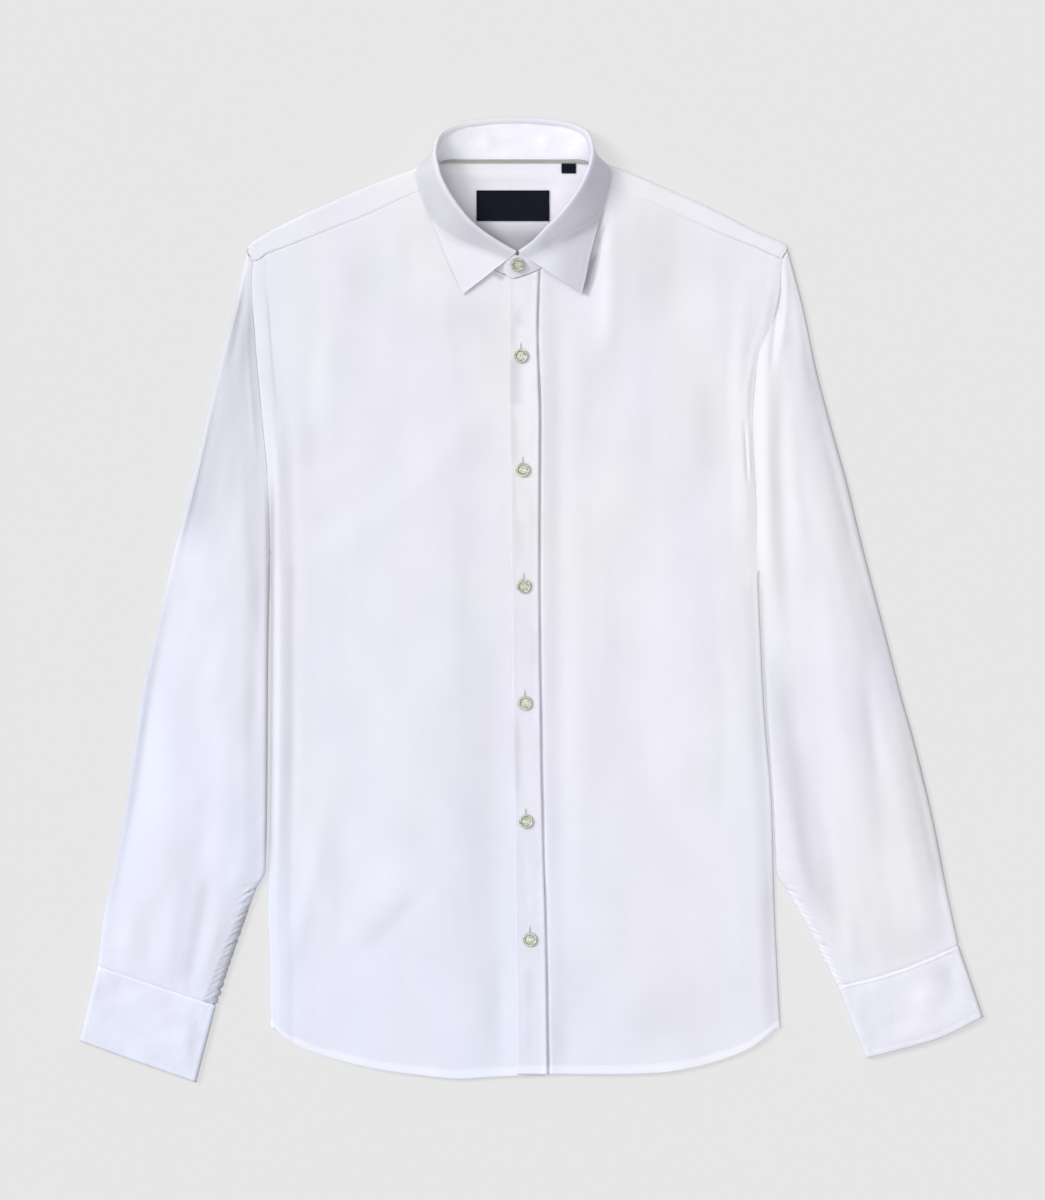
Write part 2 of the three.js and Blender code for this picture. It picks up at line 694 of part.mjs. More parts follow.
const collarLines = Object.fromEntries(["seam", "fold", "edge"].map((name) => {
  const keys = COLLAR.map((_, i) => i);
  const axes = [0, 1, 2].map((axis) => through(keys, COLLAR.map((row) => row[name][axis])));
  return [name, (at) => new THREE.Vector3(...axes.map((value) => value(at)))];
}));
const collarRoll = through(COLLAR.map((_, i) => i), COLLAR.map((row) => row.roll));

// Direction up the stand and direction out over its fold, at a place round the collar
function collarFrame(at) {
  const seam = collarLines.seam(at);
  const fold = collarLines.fold(at);
  const edge = collarLines.edge(at);
  const up = fold.clone().sub(seam).normalize();
  const before = collarLines.fold(Math.max(at - 0.2, 0));
  const along = collarLines.fold(Math.min(at + 0.2, COLLAR.length - 1)).sub(before);
  const out = up.clone().cross(along).normalize();
  return { seam, fold, edge, up, out };
}

const COLLAR_STEPS = evenly(30, 0, COLLAR.length - 1);

function collarStand() {
  const strip = (seam, top) => evenly(4).map((fraction) => seam.clone().lerp(top, fraction));
  const ends = (rows) => rows.map(({ seam, top }) => {
    return strip(new THREE.Vector3(...seam), new THREE.Vector3(...top));
  });
  return [
    ...ends(STAND_ENDS.right),
    ...COLLAR_STEPS.map((at) => {
      const { seam, fold, up } = collarFrame(at);
      return strip(seam, fold.addScaledVector(up, -LEAF_SEAM_DROP - SEAM_GAP));
    }),
    ...ends(STAND_ENDS.left),
  ];
}

// The leaf starts at the stand, turns over at the fold and falls to its free edge.
// Behind the neck it is pressed flat on the surface, under the yoke.
function collarLeaf() {
  return COLLAR_STEPS.map((at) => {
    const { fold, edge, up, out } = collarFrame(at);
    const roll = collarRoll(at);
    const start = fold.clone().addScaledVector(up, -LEAF_SEAM_DROP);
    const spring = fold.clone().addScaledVector(up, -roll);
    const section = [start];
    for (const turn of [0, 45, 90, 135, 180]) {
      const angle = degrees(turn);
      const point = spring.clone().addScaledVector(out, roll * (1 - Math.cos(angle)));
      section.push(point.addScaledVector(up, roll * Math.sin(angle)));
    }
    const shoulder = section.at(-1);
    const bulge = LEAF_BULGE * smoothstep(edge.z, 1, 5);
    const pressed = 1 - smoothstep(edge.z, 0.6, 1.5);
    for (const fall of [0.2, 0.45, 0.72, 1]) {
      const point = shoulder.clone().lerp(edge, fall);
      point.z = lerp(shoulder.z, edge.z, lerp(fall, 1 - (1 - fall) ** 3, pressed));
      section.push(point.addScaledVector(out, bulge * Math.sin(Math.PI * fall)));
    }
    return section;
  });
}

// Trim inside the neck

// A flat rectangle on the inside of the neck, its underside at height z
function flatTrim({ left, right, low, high }, z) {
  const geometry = new THREE.BoxGeometry(right - left, high - low, CLOTH);
  geometry.translate((left + right) / 2, (low + high) / 2, z + CLOTH / 2);
  return geometry;
}

// Tape over the back neck seam: half of it on the stand, half on the yoke
function neckTape() {
  const half = NECK_TAPE_WIDTH / 2;
  const ends = { right: 7.9, left: 12.1 };
  return evenly(14, ends.right, ends.left).map((at) => {
    const { seam, up, out } = collarFrame(at);
    const onStand = seam.clone().addScaledVector(out, -TAPE_RISE).addScaledVector(up, half);
    const onYoke = seam.clone().add(new THREE.Vector3(0, -half, TAPE_RISE));
    return [onStand, onStand.clone().lerp(onYoke, 0.5), onYoke];
  });
}

// Buttons

function buttonGeometry() {
  const rim = BUTTON_RADIUS;
  const top = BUTTON_THICKNESS;
  const profile = [
    [0, 0],
    [rim * 0.72, 0],
    [rim * 0.94, top * 0.25],
    [rim, top * 0.6],
    [rim * 0.93, top * 0.93],
    [rim * 0.8, top],
    [rim * 0.64, top * 0.72],
    [0, top * 0.68],
  ].map(([radius, height]) => new THREE.Vector2(radius, height));
  const geometry = new THREE.LatheGeometry(profile, BUTTON_SIDES);
  geometry.rotateX(Math.PI / 2);
  return geometry;
}

function button(name, x, y, z, tilt = 0) {
  const mesh = piece(name, buttonGeometry(), FINISH.button);
  mesh.position.set(x, y, z);
  mesh.rotation.x = degrees(tilt);
  return mesh;
}

const frontRight = frontPanel("right", RIGHT_FRACTIONS, rightCentreEdge, frontLift);
const frontLeft = frontPanel("left", LEFT_FRACTIONS, leftCentreEdge, leftLift);
const centred = true;
const mirrored = true;
const ring = true;

const shirt = new THREE.Group();
shirt.add(
  piece("back", wall(backPanel(), CLOTH), FINISH.cotton),
  piece("yoke", wall(yokePanel(), CLOTH, { mirrored }), FINISH.cotton),
  piece("front_right", wall(frontRight, CLOTH), FINISH.cotton),
  piece("front_left", wall(frontLeft, CLOTH, { mirrored }), FINISH.cotton),
  piece("placket", wall(placketStrip(), CLOTH, { mirrored }), FINISH.cotton),
  piece("collar_stand", wall(collarStand(), CLOTH, { centred }), FINISH.cotton),
  piece("collar_leaf", wall(collarLeaf(), CLOTH, { centred }), FINISH.cotton),
  piece("neck_tape", wall(neckTape(), CLOTH, { centred }), FINISH.tape),
  piece("neck_label", flatTrim(LABEL, LAYER), FINISH.label),
  piece("size_tab", flatTrim(SIZE_TAB, NECK_REST + LAYER), FINISH.label),
);
for (const side of ["right", "left"]) {
  const turned = side === "right";
  const [x, y] = cuffMiddle(side);
  shirt.add(
    piece(`sleeve_${side}`, wall(sleeveTube(side), CLOTH, { mirrored: turned }), FINISH.cotton),
    piece(`cuff_${side}`, wall(cuffRing(side), CUFF_CLOTH, { ring, mirrored: turned }), FINISH.cotton),
    button(`cuff_button_${side}`, x, y, 0),
  );
}
shirt.add(button("button_collar", COLLAR_BUTTON.x, COLLAR_BUTTON.y, COLLAR_BUTTON.z, COLLAR_BUTTON.tilt));
BUTTONS.forEach(({ x, y }, i) => {
  const height = leftLift(x, y) + CLOTH + LAYER + SEAM_GAP;
  shirt.add(button(`button_${i + 1}`, x, y, height));
});

export default shirt;
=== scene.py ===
"""A long-sleeved cotton shirt, laid flat on its back with its sleeves beside the body.

All sizes in the tables are millimetres in the part's own frame: +X towards the wearer's left
sleeve, +Y to the collar and +Z up from the surface. "right" and "left" are the wearer's own.
"""

import math

import bpy
import numpy as np
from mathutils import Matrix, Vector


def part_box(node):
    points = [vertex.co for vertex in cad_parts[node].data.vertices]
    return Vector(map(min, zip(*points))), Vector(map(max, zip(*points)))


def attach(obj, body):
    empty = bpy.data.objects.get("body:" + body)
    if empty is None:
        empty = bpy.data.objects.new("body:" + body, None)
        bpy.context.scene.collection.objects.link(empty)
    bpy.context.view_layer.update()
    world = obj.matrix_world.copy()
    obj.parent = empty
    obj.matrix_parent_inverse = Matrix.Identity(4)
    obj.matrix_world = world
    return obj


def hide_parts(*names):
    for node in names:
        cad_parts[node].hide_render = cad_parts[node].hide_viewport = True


bl_info = {
    "name": "Shirt laid flat",
    "version": (1, 0, 0),
    "blender": (4, 5, 0),
    "location": "View3D > Sidebar > Shirt",
    "description": "Builds the cloth, stitching, buttons and stage of a shirt laid flat",
    "category": "Object",
}

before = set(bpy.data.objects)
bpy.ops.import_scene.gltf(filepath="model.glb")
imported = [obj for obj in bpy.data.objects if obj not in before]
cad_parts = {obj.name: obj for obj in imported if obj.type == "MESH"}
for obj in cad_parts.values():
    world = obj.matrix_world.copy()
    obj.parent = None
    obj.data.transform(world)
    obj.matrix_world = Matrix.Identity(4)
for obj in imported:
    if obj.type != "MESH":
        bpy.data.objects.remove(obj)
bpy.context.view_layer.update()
MM = 0.001

# ---------------------------------------------------------------- sizes
SIDES = ("right", "left")
SIGN = {"right": -1.0, "left": 1.0}

# Gaps at a seam and at the neck, the lap over an armhole's seam and the strip beside it
SEAM_GAP = 0.3
NECK_GAP = 0.8
ARMHOLE_LAP = 0.9
OPEN_STRIP = 1.1
# Folded edges: from the edge to the flat upper face, and the width of cloth that lies under
FOLD_REACH = 4.0
TURN_UNDER = 6.0
TURN_STEPS = np.linspace(0, 1, 14)[1:]
# Levels where a panel's columns are spaced, and the yoke's seam on the back
TOP_LEVEL = 270.0
HEM_LEVEL = -380.0
BACK_YOKE_SEAM = 269.0
# Rise of the yoke over the collar's leaf, and the middle and the sides of the neck
NECK_REST = 1.35
NECK_MIDDLE = -14.0
NECK_SIDE = {"right": -86.5, "left": 57.5}
# Height of the placket over the left front, and how strongly the folds below stand out
PLACKET_LIFT = 1.05
FOLD_STRENGTH = 1.3
# Lines of stitching, by the distance in from the edge
HEM_WIDTH = 7.5
HEM_STITCH = HEM_WIDTH - 1.2
ARMHOLE_STITCH = 8.5
PLACKET_STITCH = 4.5
CUFF_STITCH = 5.5
CUFF_SEAM_STITCH = 2.2
COLLAR_STITCH = 5.5
YOKE_STITCH = 1.5
SLEEVE_STITCH = 3.0
LABEL_STITCH = 1.6
YOKE_STITCH_ROWS = (4, 58)
# A stitch's pitch, thickness and the rings of points round it: place, width and rise
STITCH_PITCH = 3.1
THREAD_RADIUS = 0.2
THREAD_RINGS = ((-0.34, 0.85, 0.2), (0, 1.1, 0.55), (0.34, 0.85, 0.2))
THREAD_SIDES = 5
THREAD_POINTS = 2 + THREAD_SIDES * len(THREAD_RINGS)
# Rise of a sleeve over its edges, how far in it is reached, the edges' height and the level
# where the gathers above the cuff start
SLEEVE_DOME = 3.4
SLEEVE_FALL = {"right": 26.0, "left": 22.0}
SLEEVE_EDGE_HEIGHT = 5.2
GATHERS_TOP = -228
# Middle of each front button, (x, y), and of the collar's, (x, y, z), with its tilt in degrees
BUTTONS = [(-8.5, 202), (-6.9, 107.5), (-6.1, 11), (-5.2, -86), (-4.4, -184), (-1.1, -282)]
COLLAR_BUTTON = (-11.5, 277.6, 9.05)
COLLAR_BUTTON_TILT = 17.0
# Label and size tab: lowest and highest x, lowest and highest y
LABEL = (-45.5, 15.0, 314.0, 339.5)
SIZE_TAB = (25.0, 37.0, 353.5, 361.6)

# Edge of the body, (y, x): the armhole seam down to the armpit, then the folded side
ARMPIT = {"right": 41.0, "left": 25.0}
BODY_EDGE = {
    "right": [(287, -236), (281.5, -230), (266, -231), (220, -228.5), (172, -224.5), (102, -218),
              (41, -215.7), (-34, -215.5), (-225, -217.5), (-255, -218.5), (-305, -216.5),
              (-355, -216.5)],
    "left": [(292, 212.5), (283, 207), (257, 205), (231, 199), (195, 186), (147, 182.5),
             (97, 184.5), (25, 187.8), (-83, 193), (-179, 200), (-240, 201.5), (-320, 205),
             (-355, 207)],
}
# Shoulder line and the yoke's front seam below it, (x, y)
SHOULDER_FOLD = [(-236, 287), (-226, 297), (-195, 315), (-162, 330.5), (-131, 344), (-101, 355.5),
                 (-86, 361), (-70, 364.5), (42, 364.5), (57, 362), (71, 357.5), (92, 348.5),
                 (121, 335.5), (150, 322), (180, 306), (212.5, 292)]
YOKE_SEAM = [(-236, 278.5), (-226, 283), (-195, 295), (-162, 308.5), (-131, 321), (-101, 335.5),
             (-86, 341.5), (-70, 346), (42, 348), (57, 344.5), (71, 340.5), (92, 332),
             (121, 318.5), (150, 305.5), (180, 293), (212.5, 281)]
# Shirt-tail hem of each front, (x, y)
HEM = {
    "right": [(-216.5, -355), (-208.5, -363), (-192, -372), (-170, -380), (-123, -391),
              (-93, -395), (-58, -398), (-34, -396.5), (10, -395)],
    "left": [(-14, -393.8), (66, -394.3), (105, -393), (137.5, -388), (164, -380.5),
             (185, -371.5), (207, -355)],
}
# Edges of the placket, (y, x): outer is the free edge, inner is the edge sewn to the left front
PLACKET_OUTER = [(275, -19.5), (224, -19), (149, -18.5), (33, -16.8), (-108, -15.4), (-191, -14.4),
                 (-274, -13.4), (-394, -11.9)]
PLACKET_INNER = [(275, 6), (224, 4.5), (149, 6.4), (33, 6), (-108, 7.4), (-191, 9), (-274, 11.4),
                 (-394, 13.2)]

# Collar sections round the neck, from the right point to the left point: the neck seam, the fold
# at the top of the stand, the free edge of the leaf, the fold's radius and the leaf's extra lift
COLLAR = [
    ((-12, 267, 1.8), (-13.2, 289, 10.6), (-57, 253, 3.2), 1.5, 1.2),
    ((-28, 272.5, 1.9), (-22, 294, 13), (-62, 264, 3.2), 1.6, 1.4),
    ((-47, 285, 2), (-35, 302, 18), (-68.5, 278.5, 3.3), 1.8, 1.5),
    ((-65, 302, 2.2), (-48.5, 312.5, 24), (-74.5, 293, 3.5), 2, 1.2),
    ((-78, 321, 2.7), (-61, 327, 30), (-82, 314.5, 4), 2, 0.8),
    ((-86, 340, 4.2), (-70, 341, 33), (-90.5, 334.5, 5.2), 2, 0.4),
    ((-86.5, 352, 5.8), (-75.5, 354, 34), (-95, 352, 7.3), 2, 0),
    ((-79, 362.5, 4.8), (-78.5, 370, 29), (-86, 365, 1.6), 2.2, 0),
    ((-65, 364.8, 2.8), (-75, 385, 19), (-75, 367, 0.6), 2.6, 0),
    ((-45, 364.8, 2), (-56, 395.5, 10.5), (-54, 359, 0.55), 3, 0),
    ((-14, 364.8, 1.9), (-14, 399.3, 7.6), (-14, 356, 0.55), 3.2, 0),
    ((17, 364.8, 2), (27, 395.5, 10.5), (26, 359, 0.55), 3, 0),
    ((37, 364.8, 2.8), (46.5, 385.5, 19), (46, 367, 0.6), 2.6, 0),
    ((51, 362.5, 4.8), (49.5, 371, 29), (57, 365, 1.6), 2.2, 0),
    ((58, 352, 5.8), (46.5, 356, 34), (65.5, 352, 7.3), 2, 0),
    ((57, 340, 4.2), (41.5, 344.5, 33), (61, 333, 5.2), 2, 0.6),
    ((48, 321, 2.9), (34, 332.5, 30), (56.2, 315.5, 4.6), 2, 1.8),
    ((36, 302, 2.8), (24, 320, 25), (52, 298, 4.5), 2, 3.4),
    ((22, 286, 3), (12, 308, 19.5), (48.3, 284, 4.5), 1.8, 5.0),
    ((6, 274, 4), (0, 296, 14.5), (45, 267, 4.2), 1.6, 5.6),
    ((-9, 268, 4.3), (-10.2, 289, 12.2), (42, 253.5, 3.6), 1.5, 5.0),
]
# The leaf's seam below the fold, the fold's radius as a part of the table's, the leaf's bulge
# and the spacing of its rows
LEAF_SEAM_DROP = 3.5
LEAF_FOLD = 0.5
LEAF_BULGE = 0.8
LEAF_ROW_STEP = 2.1
# Width of the steep part of the leaf beside its fold, by the row of the table above
LEAF_BAND = [(0, 9), (1, 10.5), (2, 13), (3, 18), (4, 23), (5, 26), (7, 40), (13, 40), (15, 27),
             (16, 24), (17, 19), (18, 14), (19, 11), (20, 9)]
# Columns of the leaf: at the top of its fold, and where it starts to fall
LEAF_FOLD_TOP = 9
LEAF_FALL_START = 17
# Ends of the stand past the leaf, (seam, top), outermost last
STAND_END_RIGHT = [((-3, 268.4, 1.6), (-3, 283.5, 6.3)), ((3, 273, 1.9), (3, 279, 4.2))]
STAND_END_LEFT = [((-15.5, 266.5, 4.2), (-15.8, 282.6, 9.1)),
                  ((-20, 268.3, 4.8), (-20.4, 280.4, 8.6)),
                  ((-22.6, 272.4, 5.6), (-22.9, 276.4, 7.2))]
# Right wall of the neck opening, (y, x)
NECK_WALL = [(267, -12), (285, -34), (302, -48), (321, -62), (340, -74), (360, -80), (370, -80)]

# Outer and inner edge of each sleeve, (y, x), down to the cuff seam
SLEEVE_OUTER = {
    "right": [(286.4, -236.4), (268, -240.5), (219, -253), (152, -269), (89, -284), (35, -297.5),
              (-15.5, -309), (-83.5, -324), (-130, -331), (-218, -345), (-258, -354), (-305, -360)],
    "left": [(291.4, 212.9), (243.5, 225.5), (190.5, 236.7), (147, 248), (97, 262), (45.5, 274.5),
             (-33, 295), (-83.5, 308), (-115, 317), (-185, 334), (-248.5, 346.5), (-287.5, 355)],
}
SLEEVE_INNER = {
    "right": [(41, -216.2), (-34, -218), (-224, -220.3), (-241, -228.5), (-266, -237.5),
              (-307.5, -251.7), (-338, -261.7)],
    "left": [(25, 188.3), (-10, 190.4), (-83, 194.4), (-179, 201.4), (-225, 203.2), (-240, 211.4),
             (-266, 226.5), (-299, 243), (-321.5, 254.6)],
}
CUFF_END = {
    "right": [(-375, -366), (-327, -383.5), (-278, -400.5)],
    "left": [(375, -346), (338.5, -364), (300, -375), (277.8, -380.5)],
}
# Sag of the cuff's seam, the cuff's height, and the arch of its underside over the button
CUFF_SAG = {"right": 0.0, "left": 4.0}
CUFF_HEIGHT = 6.0
CUFF_ARCH = 2.9
CUFF_ARCH_REACH = (19.0, 31.0)

# Folds: path of (x, y) points, half width, height (a trough is negative) and length of the ends
BODY_FOLDS = [
    # right half: side trough, diagonal ridge, the long trough beside the placket
    (((-203, 175), (-199, 60), (-199, -120), (-204, -230)), 6.5, -0.9, 60),
    (((-214, 160), (-208, 80)), 4, 0.45, 30),
    (((-172, -170), (-182, -235), (-203, -310)), 9, 1.1, 50),
    (((-150, -150), (-158, -260), (-176, -330)), 10, -0.6, 60),
    (((-18, 185), (-66, 140), (-112, 92), (-168, 44)), 20, 0.9, 70),
    (((-40, 120), (-100, 62), (-160, 20)), 20, -0.5, 60),
    (((-60, 240), (-68, 90), (-66, -80), (-74, -270)), 18, 0.5, 90),
    (((-42, 230), (-44, 60), (-42, -120), (-34, -300)), 15, -0.6, 90),
    (((-132, 312), (-134, 262), (-140, 205)), 11, -0.2, 44),
    (((-112, 320), (-112, 270)), 10, 0.7, 30),
    (((-160, 300), (-162, 210), (-168, 140)), 16, 0.6, 50),
    (((-176, 250), (-184, 170), (-178, 100)), 9, -0.5, 50),
    (((-58, 246), (-62, 222), (-50, 190)), 12, -0.9, 24),
    (((-76, -232), (-112, -268), (-152, -308)), 10, -0.45, 40),
    (((-92, -222), (-128, -256), (-166, -296)), 12, 0.5, 40),
    (((-118, -300), (-98, -306)), 1.6, -0.35, 8),
    (((-118, -302.5), (-100, -309)), 1.6, 0.3, 8),
    (((-116, -252), (-104, -253.5)), 1.6, 0.25, 6),
    (((-22, -300), (-26, -350), (-22, -392)), 9, -1.1, 26),
    (((-64, -330), (-48, -372), (-28, -392)), 14, 0.7, 30),
    (((-120, -60), (-100, -150), (-96, -220)), 26, 0.9, 60),
    (((-150, 20), (-142, -60), (-120, -130)), 20, -0.5, 50),
    # left half: shoulder slope, chest dents, the bright ridges beside the armhole
    (((62, 304), (55, 280), (47, 256)), 2.6, -1.7, 12),
    (((66, 322), (66, 262), (62, 205)), 12, 1.9, 34),
    (((112, 318), (116, 272), (112, 215)), 17, -1.1, 34),
    (((146, 300), (150, 250), (154, 210)), 14, 0.9, 40),
    (((56, 196), (54, 168), (50, 128)), 16, -1.1, 34),
    (((84, 180), (80, 120), (70, 60)), 16, 0.8, 50),
    (((146, 182), (150, 152), (152, 96)), 13, -1.2, 32),
    (((178, 262), (174, 190), (176, 120), (178, 30)), 7, 1.2, 60),
    (((166, 240), (163, 160), (167, 60)), 6, -0.5, 50),
    (((186.5, 214), (179.5, 176), (179, 148)), 2.4, 0.7, 18),
    (((176.6, 149), (178.4, 120), (179.6, 97)), 1.3, -1.1, 12),
    (((180.4, 150), (181.8, 96)), 1.8, 0.4, 16),
    (((22, 246), (21, 120), (24, -40), (26, -240)), 10, -0.9, 70),
    (((44, 60), (48, -60), (44, -200)), 18, 0.8, 80),
    (((120, 60), (128, -60), (134, -170)), 26, 0.9, 70),
    (((92, 20), (88, -90), (96, -170)), 14, -0.6, 60),
    (((158, -40), (164, -110), (158, -190)), 9, -0.7, 40),
    (((178, -80), (184, -170), (186, -240)), 7, 0.5, 60),
    (((19, -300), (46, -312), (78, -318)), 9, -0.8, 26),
    (((24, -344), (30, -372), (26, -388)), 10, -1.1, 22),
    (((60, -334), (92, -372)), 22, 0.9, 30),
    (((132, -300), (146, -352)), 14, -0.6, 34),
    (((178, -250), (190, -300), (176, -340)), 12, -0.6, 34),
]
SLEEVE_FOLDS = {
    "right": [
        (((-240, 262), (-244, 222), (-250, 170)), 6, -1.5, 34),
        (((-236.5, 262), (-235, 200), (-228, 120)), 2.4, 0.5, 40),
        (((-252, 196), (-250, 130), (-256, 60)), 9, 1.2, 44),
        (((-268, 190), (-280, 110), (-292, 40)), 14, -1.7, 50),
        (((-236, 140), (-232, 70), (-228, -10)), 6, -1.0, 60),
        (((-230, -20), (-230, -90), (-232, -150)), 6, -0.7, 60),
        (((-262, 20), (-262, -60), (-268, -120)), 18, 0.9, 60),
        (((-276, 40), (-288, -30)), 10, -0.5, 40),
        (((-312, -60), (-320, -120), (-328, -180)), 7, -1.0, 50),
        (((-300, -120), (-302, -190), (-298, -260)), 16, 1.8, 60),
        (((-270, -160), (-272, -210)), 10, -0.6, 40),
        (((-252, -60), (-254, -150), (-256, -220)), 11, 0.8, 60),
        (((-266, -226), (-274, -272), (-283, -323)), 6, -0.8, 34),
        (((-256, -226), (-262, -270), (-268, -312)), 6, 0.4, 36),
        (((-296, -250), (-300, -310)), 7, 0.9, 34),
        (((-318, -262), (-316, -308)), 6, -0.6, 26),
        (((-331, -250), (-336, -302)), 6, 0.6, 30),
        (((-357, -281), (-349, -287)), 1.5, -0.5, 5),
        (((-357, -283.5), (-348, -289.5)), 1.5, 0.45, 5),
        (((-347, -290), (-335, -300)), 1.6, -0.5, 7),
        (((-346, -293), (-336, -302)), 1.6, 0.4, 7),
    ],
    "left": [
        (((206.5, 268), (204, 232), (199, 192)), 3.0, -1.7, 24),
        (((211.5, 280), (211, 242), (206, 206)), 3.6, 0.9, 26),
        (((219, 262), (224, 214), (226, 170)), 6, 0.8, 34),
        (((208, 190), (206, 110), (210, 20), (216, -40)), 7, -1.3, 60),
        (((196, 232), (195, 130), (198, 20)), 5, 0.8, 50),
        (((209, -40), (217, -120), (226, -190), (238, -250)), 10, -2.2, 60),
        (((232, -130), (246, -200), (258, -262)), 9, -1.1, 50),
        (((214, 150), (218, 90), (228, 20)), 8, 1.3, 50),
        (((240, 60), (248, -30), (258, -110), (276, -190)), 17, 1.7, 70),
        (((244, 150), (262, 70), (280, -10)), 10, -1.3, 60),
        (((276, -54), (282, -100), (288, -150)), 6, -0.9, 34),
        (((292, -90), (306, -170), (316, -240)), 11, 0.8, 60),
        (((316, -110), (332, -190), (344, -262)), 7, -0.9, 60),
        (((262, -262), (268, -300)), 5, 0.7, 22),
        (((300, -250), (304, -296)), 12, -0.5, 34),
        (((275, -258), (282, -306)), 7, -0.5, 26),
    ],
}
CUFF_FOLDS = {
    "right": [
        (((-350, -318), (-352, -360)), 8, -0.5, 14),
        (((-330, -322), (-336, -366)), 9, 0.5, 14),
        (((-300, -334), (-316, -352), (-340, -356)), 7, -0.45, 12),
        (((-288, -344), (-286, -384)), 7, 0.5, 14),
        (((-275, -348), (-284, -388)), 4, -0.45, 14),
    ],
    "left": [
        (((344, -300), (352, -336)), 7, -0.7, 12),
        (((356, -302), (364, -334)), 5, 0.4, 12),
        (((322, -312), (328, -352)), 9, 0.6, 14),
        (((296, -322), (302, -362)), 8, -0.4, 14),
        (((272, -330), (286, -368)), 7, 0.5, 14),
        (((300, -352), (336, -346)), 6, -0.4, 12),
    ],
}
PLACKET_FOLDS = [
    (((-8, 262), (-6, 240)), 7, 0.5, 10),
    (((-12, 232), (-11, 206)), 4, -0.5, 10),
    (((-14, 190), (-13.5, 150), (-13, 116)), 3.6, -0.3, 16),
    (((0, 196), (0, 120)), 4.5, 0.5, 20),
    (((-12, 96), (-10, 60)), 4, -0.4, 14),
    (((-2, 86), (0, 30)), 4, 0.3, 14),
    (((-9, -96), (-8, -170)), 4, -0.5, 20),
    (((2, -100), (4, -180)), 4, 0.4, 20),
    (((-6, -200), (-4, -262)), 4, -0.3, 18),
    (((0, -306), (1, -338)), 5, -0.6, 10),
    (((0, -350), (1, -382)), 4, -0.3, 10),
]

# Painted shade and painted light on the cloth, rows as for the folds: painted shade where positive
# and painted light where negative
BODY_PAINTED_SHADE = [
    (((90, 326), (96, 296), (94, 236)), 11, 0.16, 40),
    (((110, 324), (114, 290), (113, 244)), 10, 0.2, 34),
    (((130, 314), (134, 250)), 8, 0.07, 34),
    (((62, 316), (53.5, 288)), 1.2, 0.7, 8),
    (((52.4, 286), (44, 255.5)), 2.1, 1.3, 4),
    (((-31, 270.5), (-22, 266)), 2.6, 0.9, 3),
    (((61, 318), (61, 262), (60, 215)), 5, -0.12, 20),
    (((56, 210), (56, 165), (52, 110)), 14, 0.11, 34),
    (((147, 180), (148, 140), (146, 90)), 14, 0.1, 34),
    (((24, 240), (22, 130), (20, 0)), 6, 0.1, 60),
    (((100, 40), (112, -60), (110, -160)), 30, -0.06, 60),
    (((-201, 140), (-200, 0), (-201, -120), (-204, -240)), 5.5, 0.18, 50),
    (((-211.5, 150), (-211.5, -200)), 3, -0.14, 40),
    (((-126, 300), (-128, 240)), 6, 0.06, 30),
    (((-146, 292), (-149, 230)), 7, 0.06, 30),
    (((-184, 146), (-184, 105)), 13, 0.13, 18),
    (((-50, 250), (-48, 212)), 19, 0.14, 18),
    (((-30, 182), (-90, 104), (-150, 62), (-190, 36)), 13, -0.09, 40),
    (((-38, 0), (-38, -180), (-36, -380)), 17, 0.12, 60),
    (((28, -300), (28, -392)), 14, 0.14, 40),
    (((40, -340), (120, -348), (190, -340)), 26, 0.09, 50),
    (((195, -225), (197, -345)), 6, 0.22, 30),
    (((-110, -200), (-142, -262)), 14, -0.08, 30),
    (((-96, -244), (-118, -268), (-136, -286)), 6, 0.1, 16),
    (((-180, -120), (-182, -300)), 16, -0.05, 50),
    (((-215, 95), (-215, 0), (-217, -225)), 2.2, 0.7, 30),
    (((-219.5, 256), (-216, 210), (-211, 156)), 0.9, 0.5, 20),
    (((181.6, 148), (183, 98)), 1.1, 0.3, 12),
    (((201, 260), (194, 214)), 2.4, 0.22, 12),
]
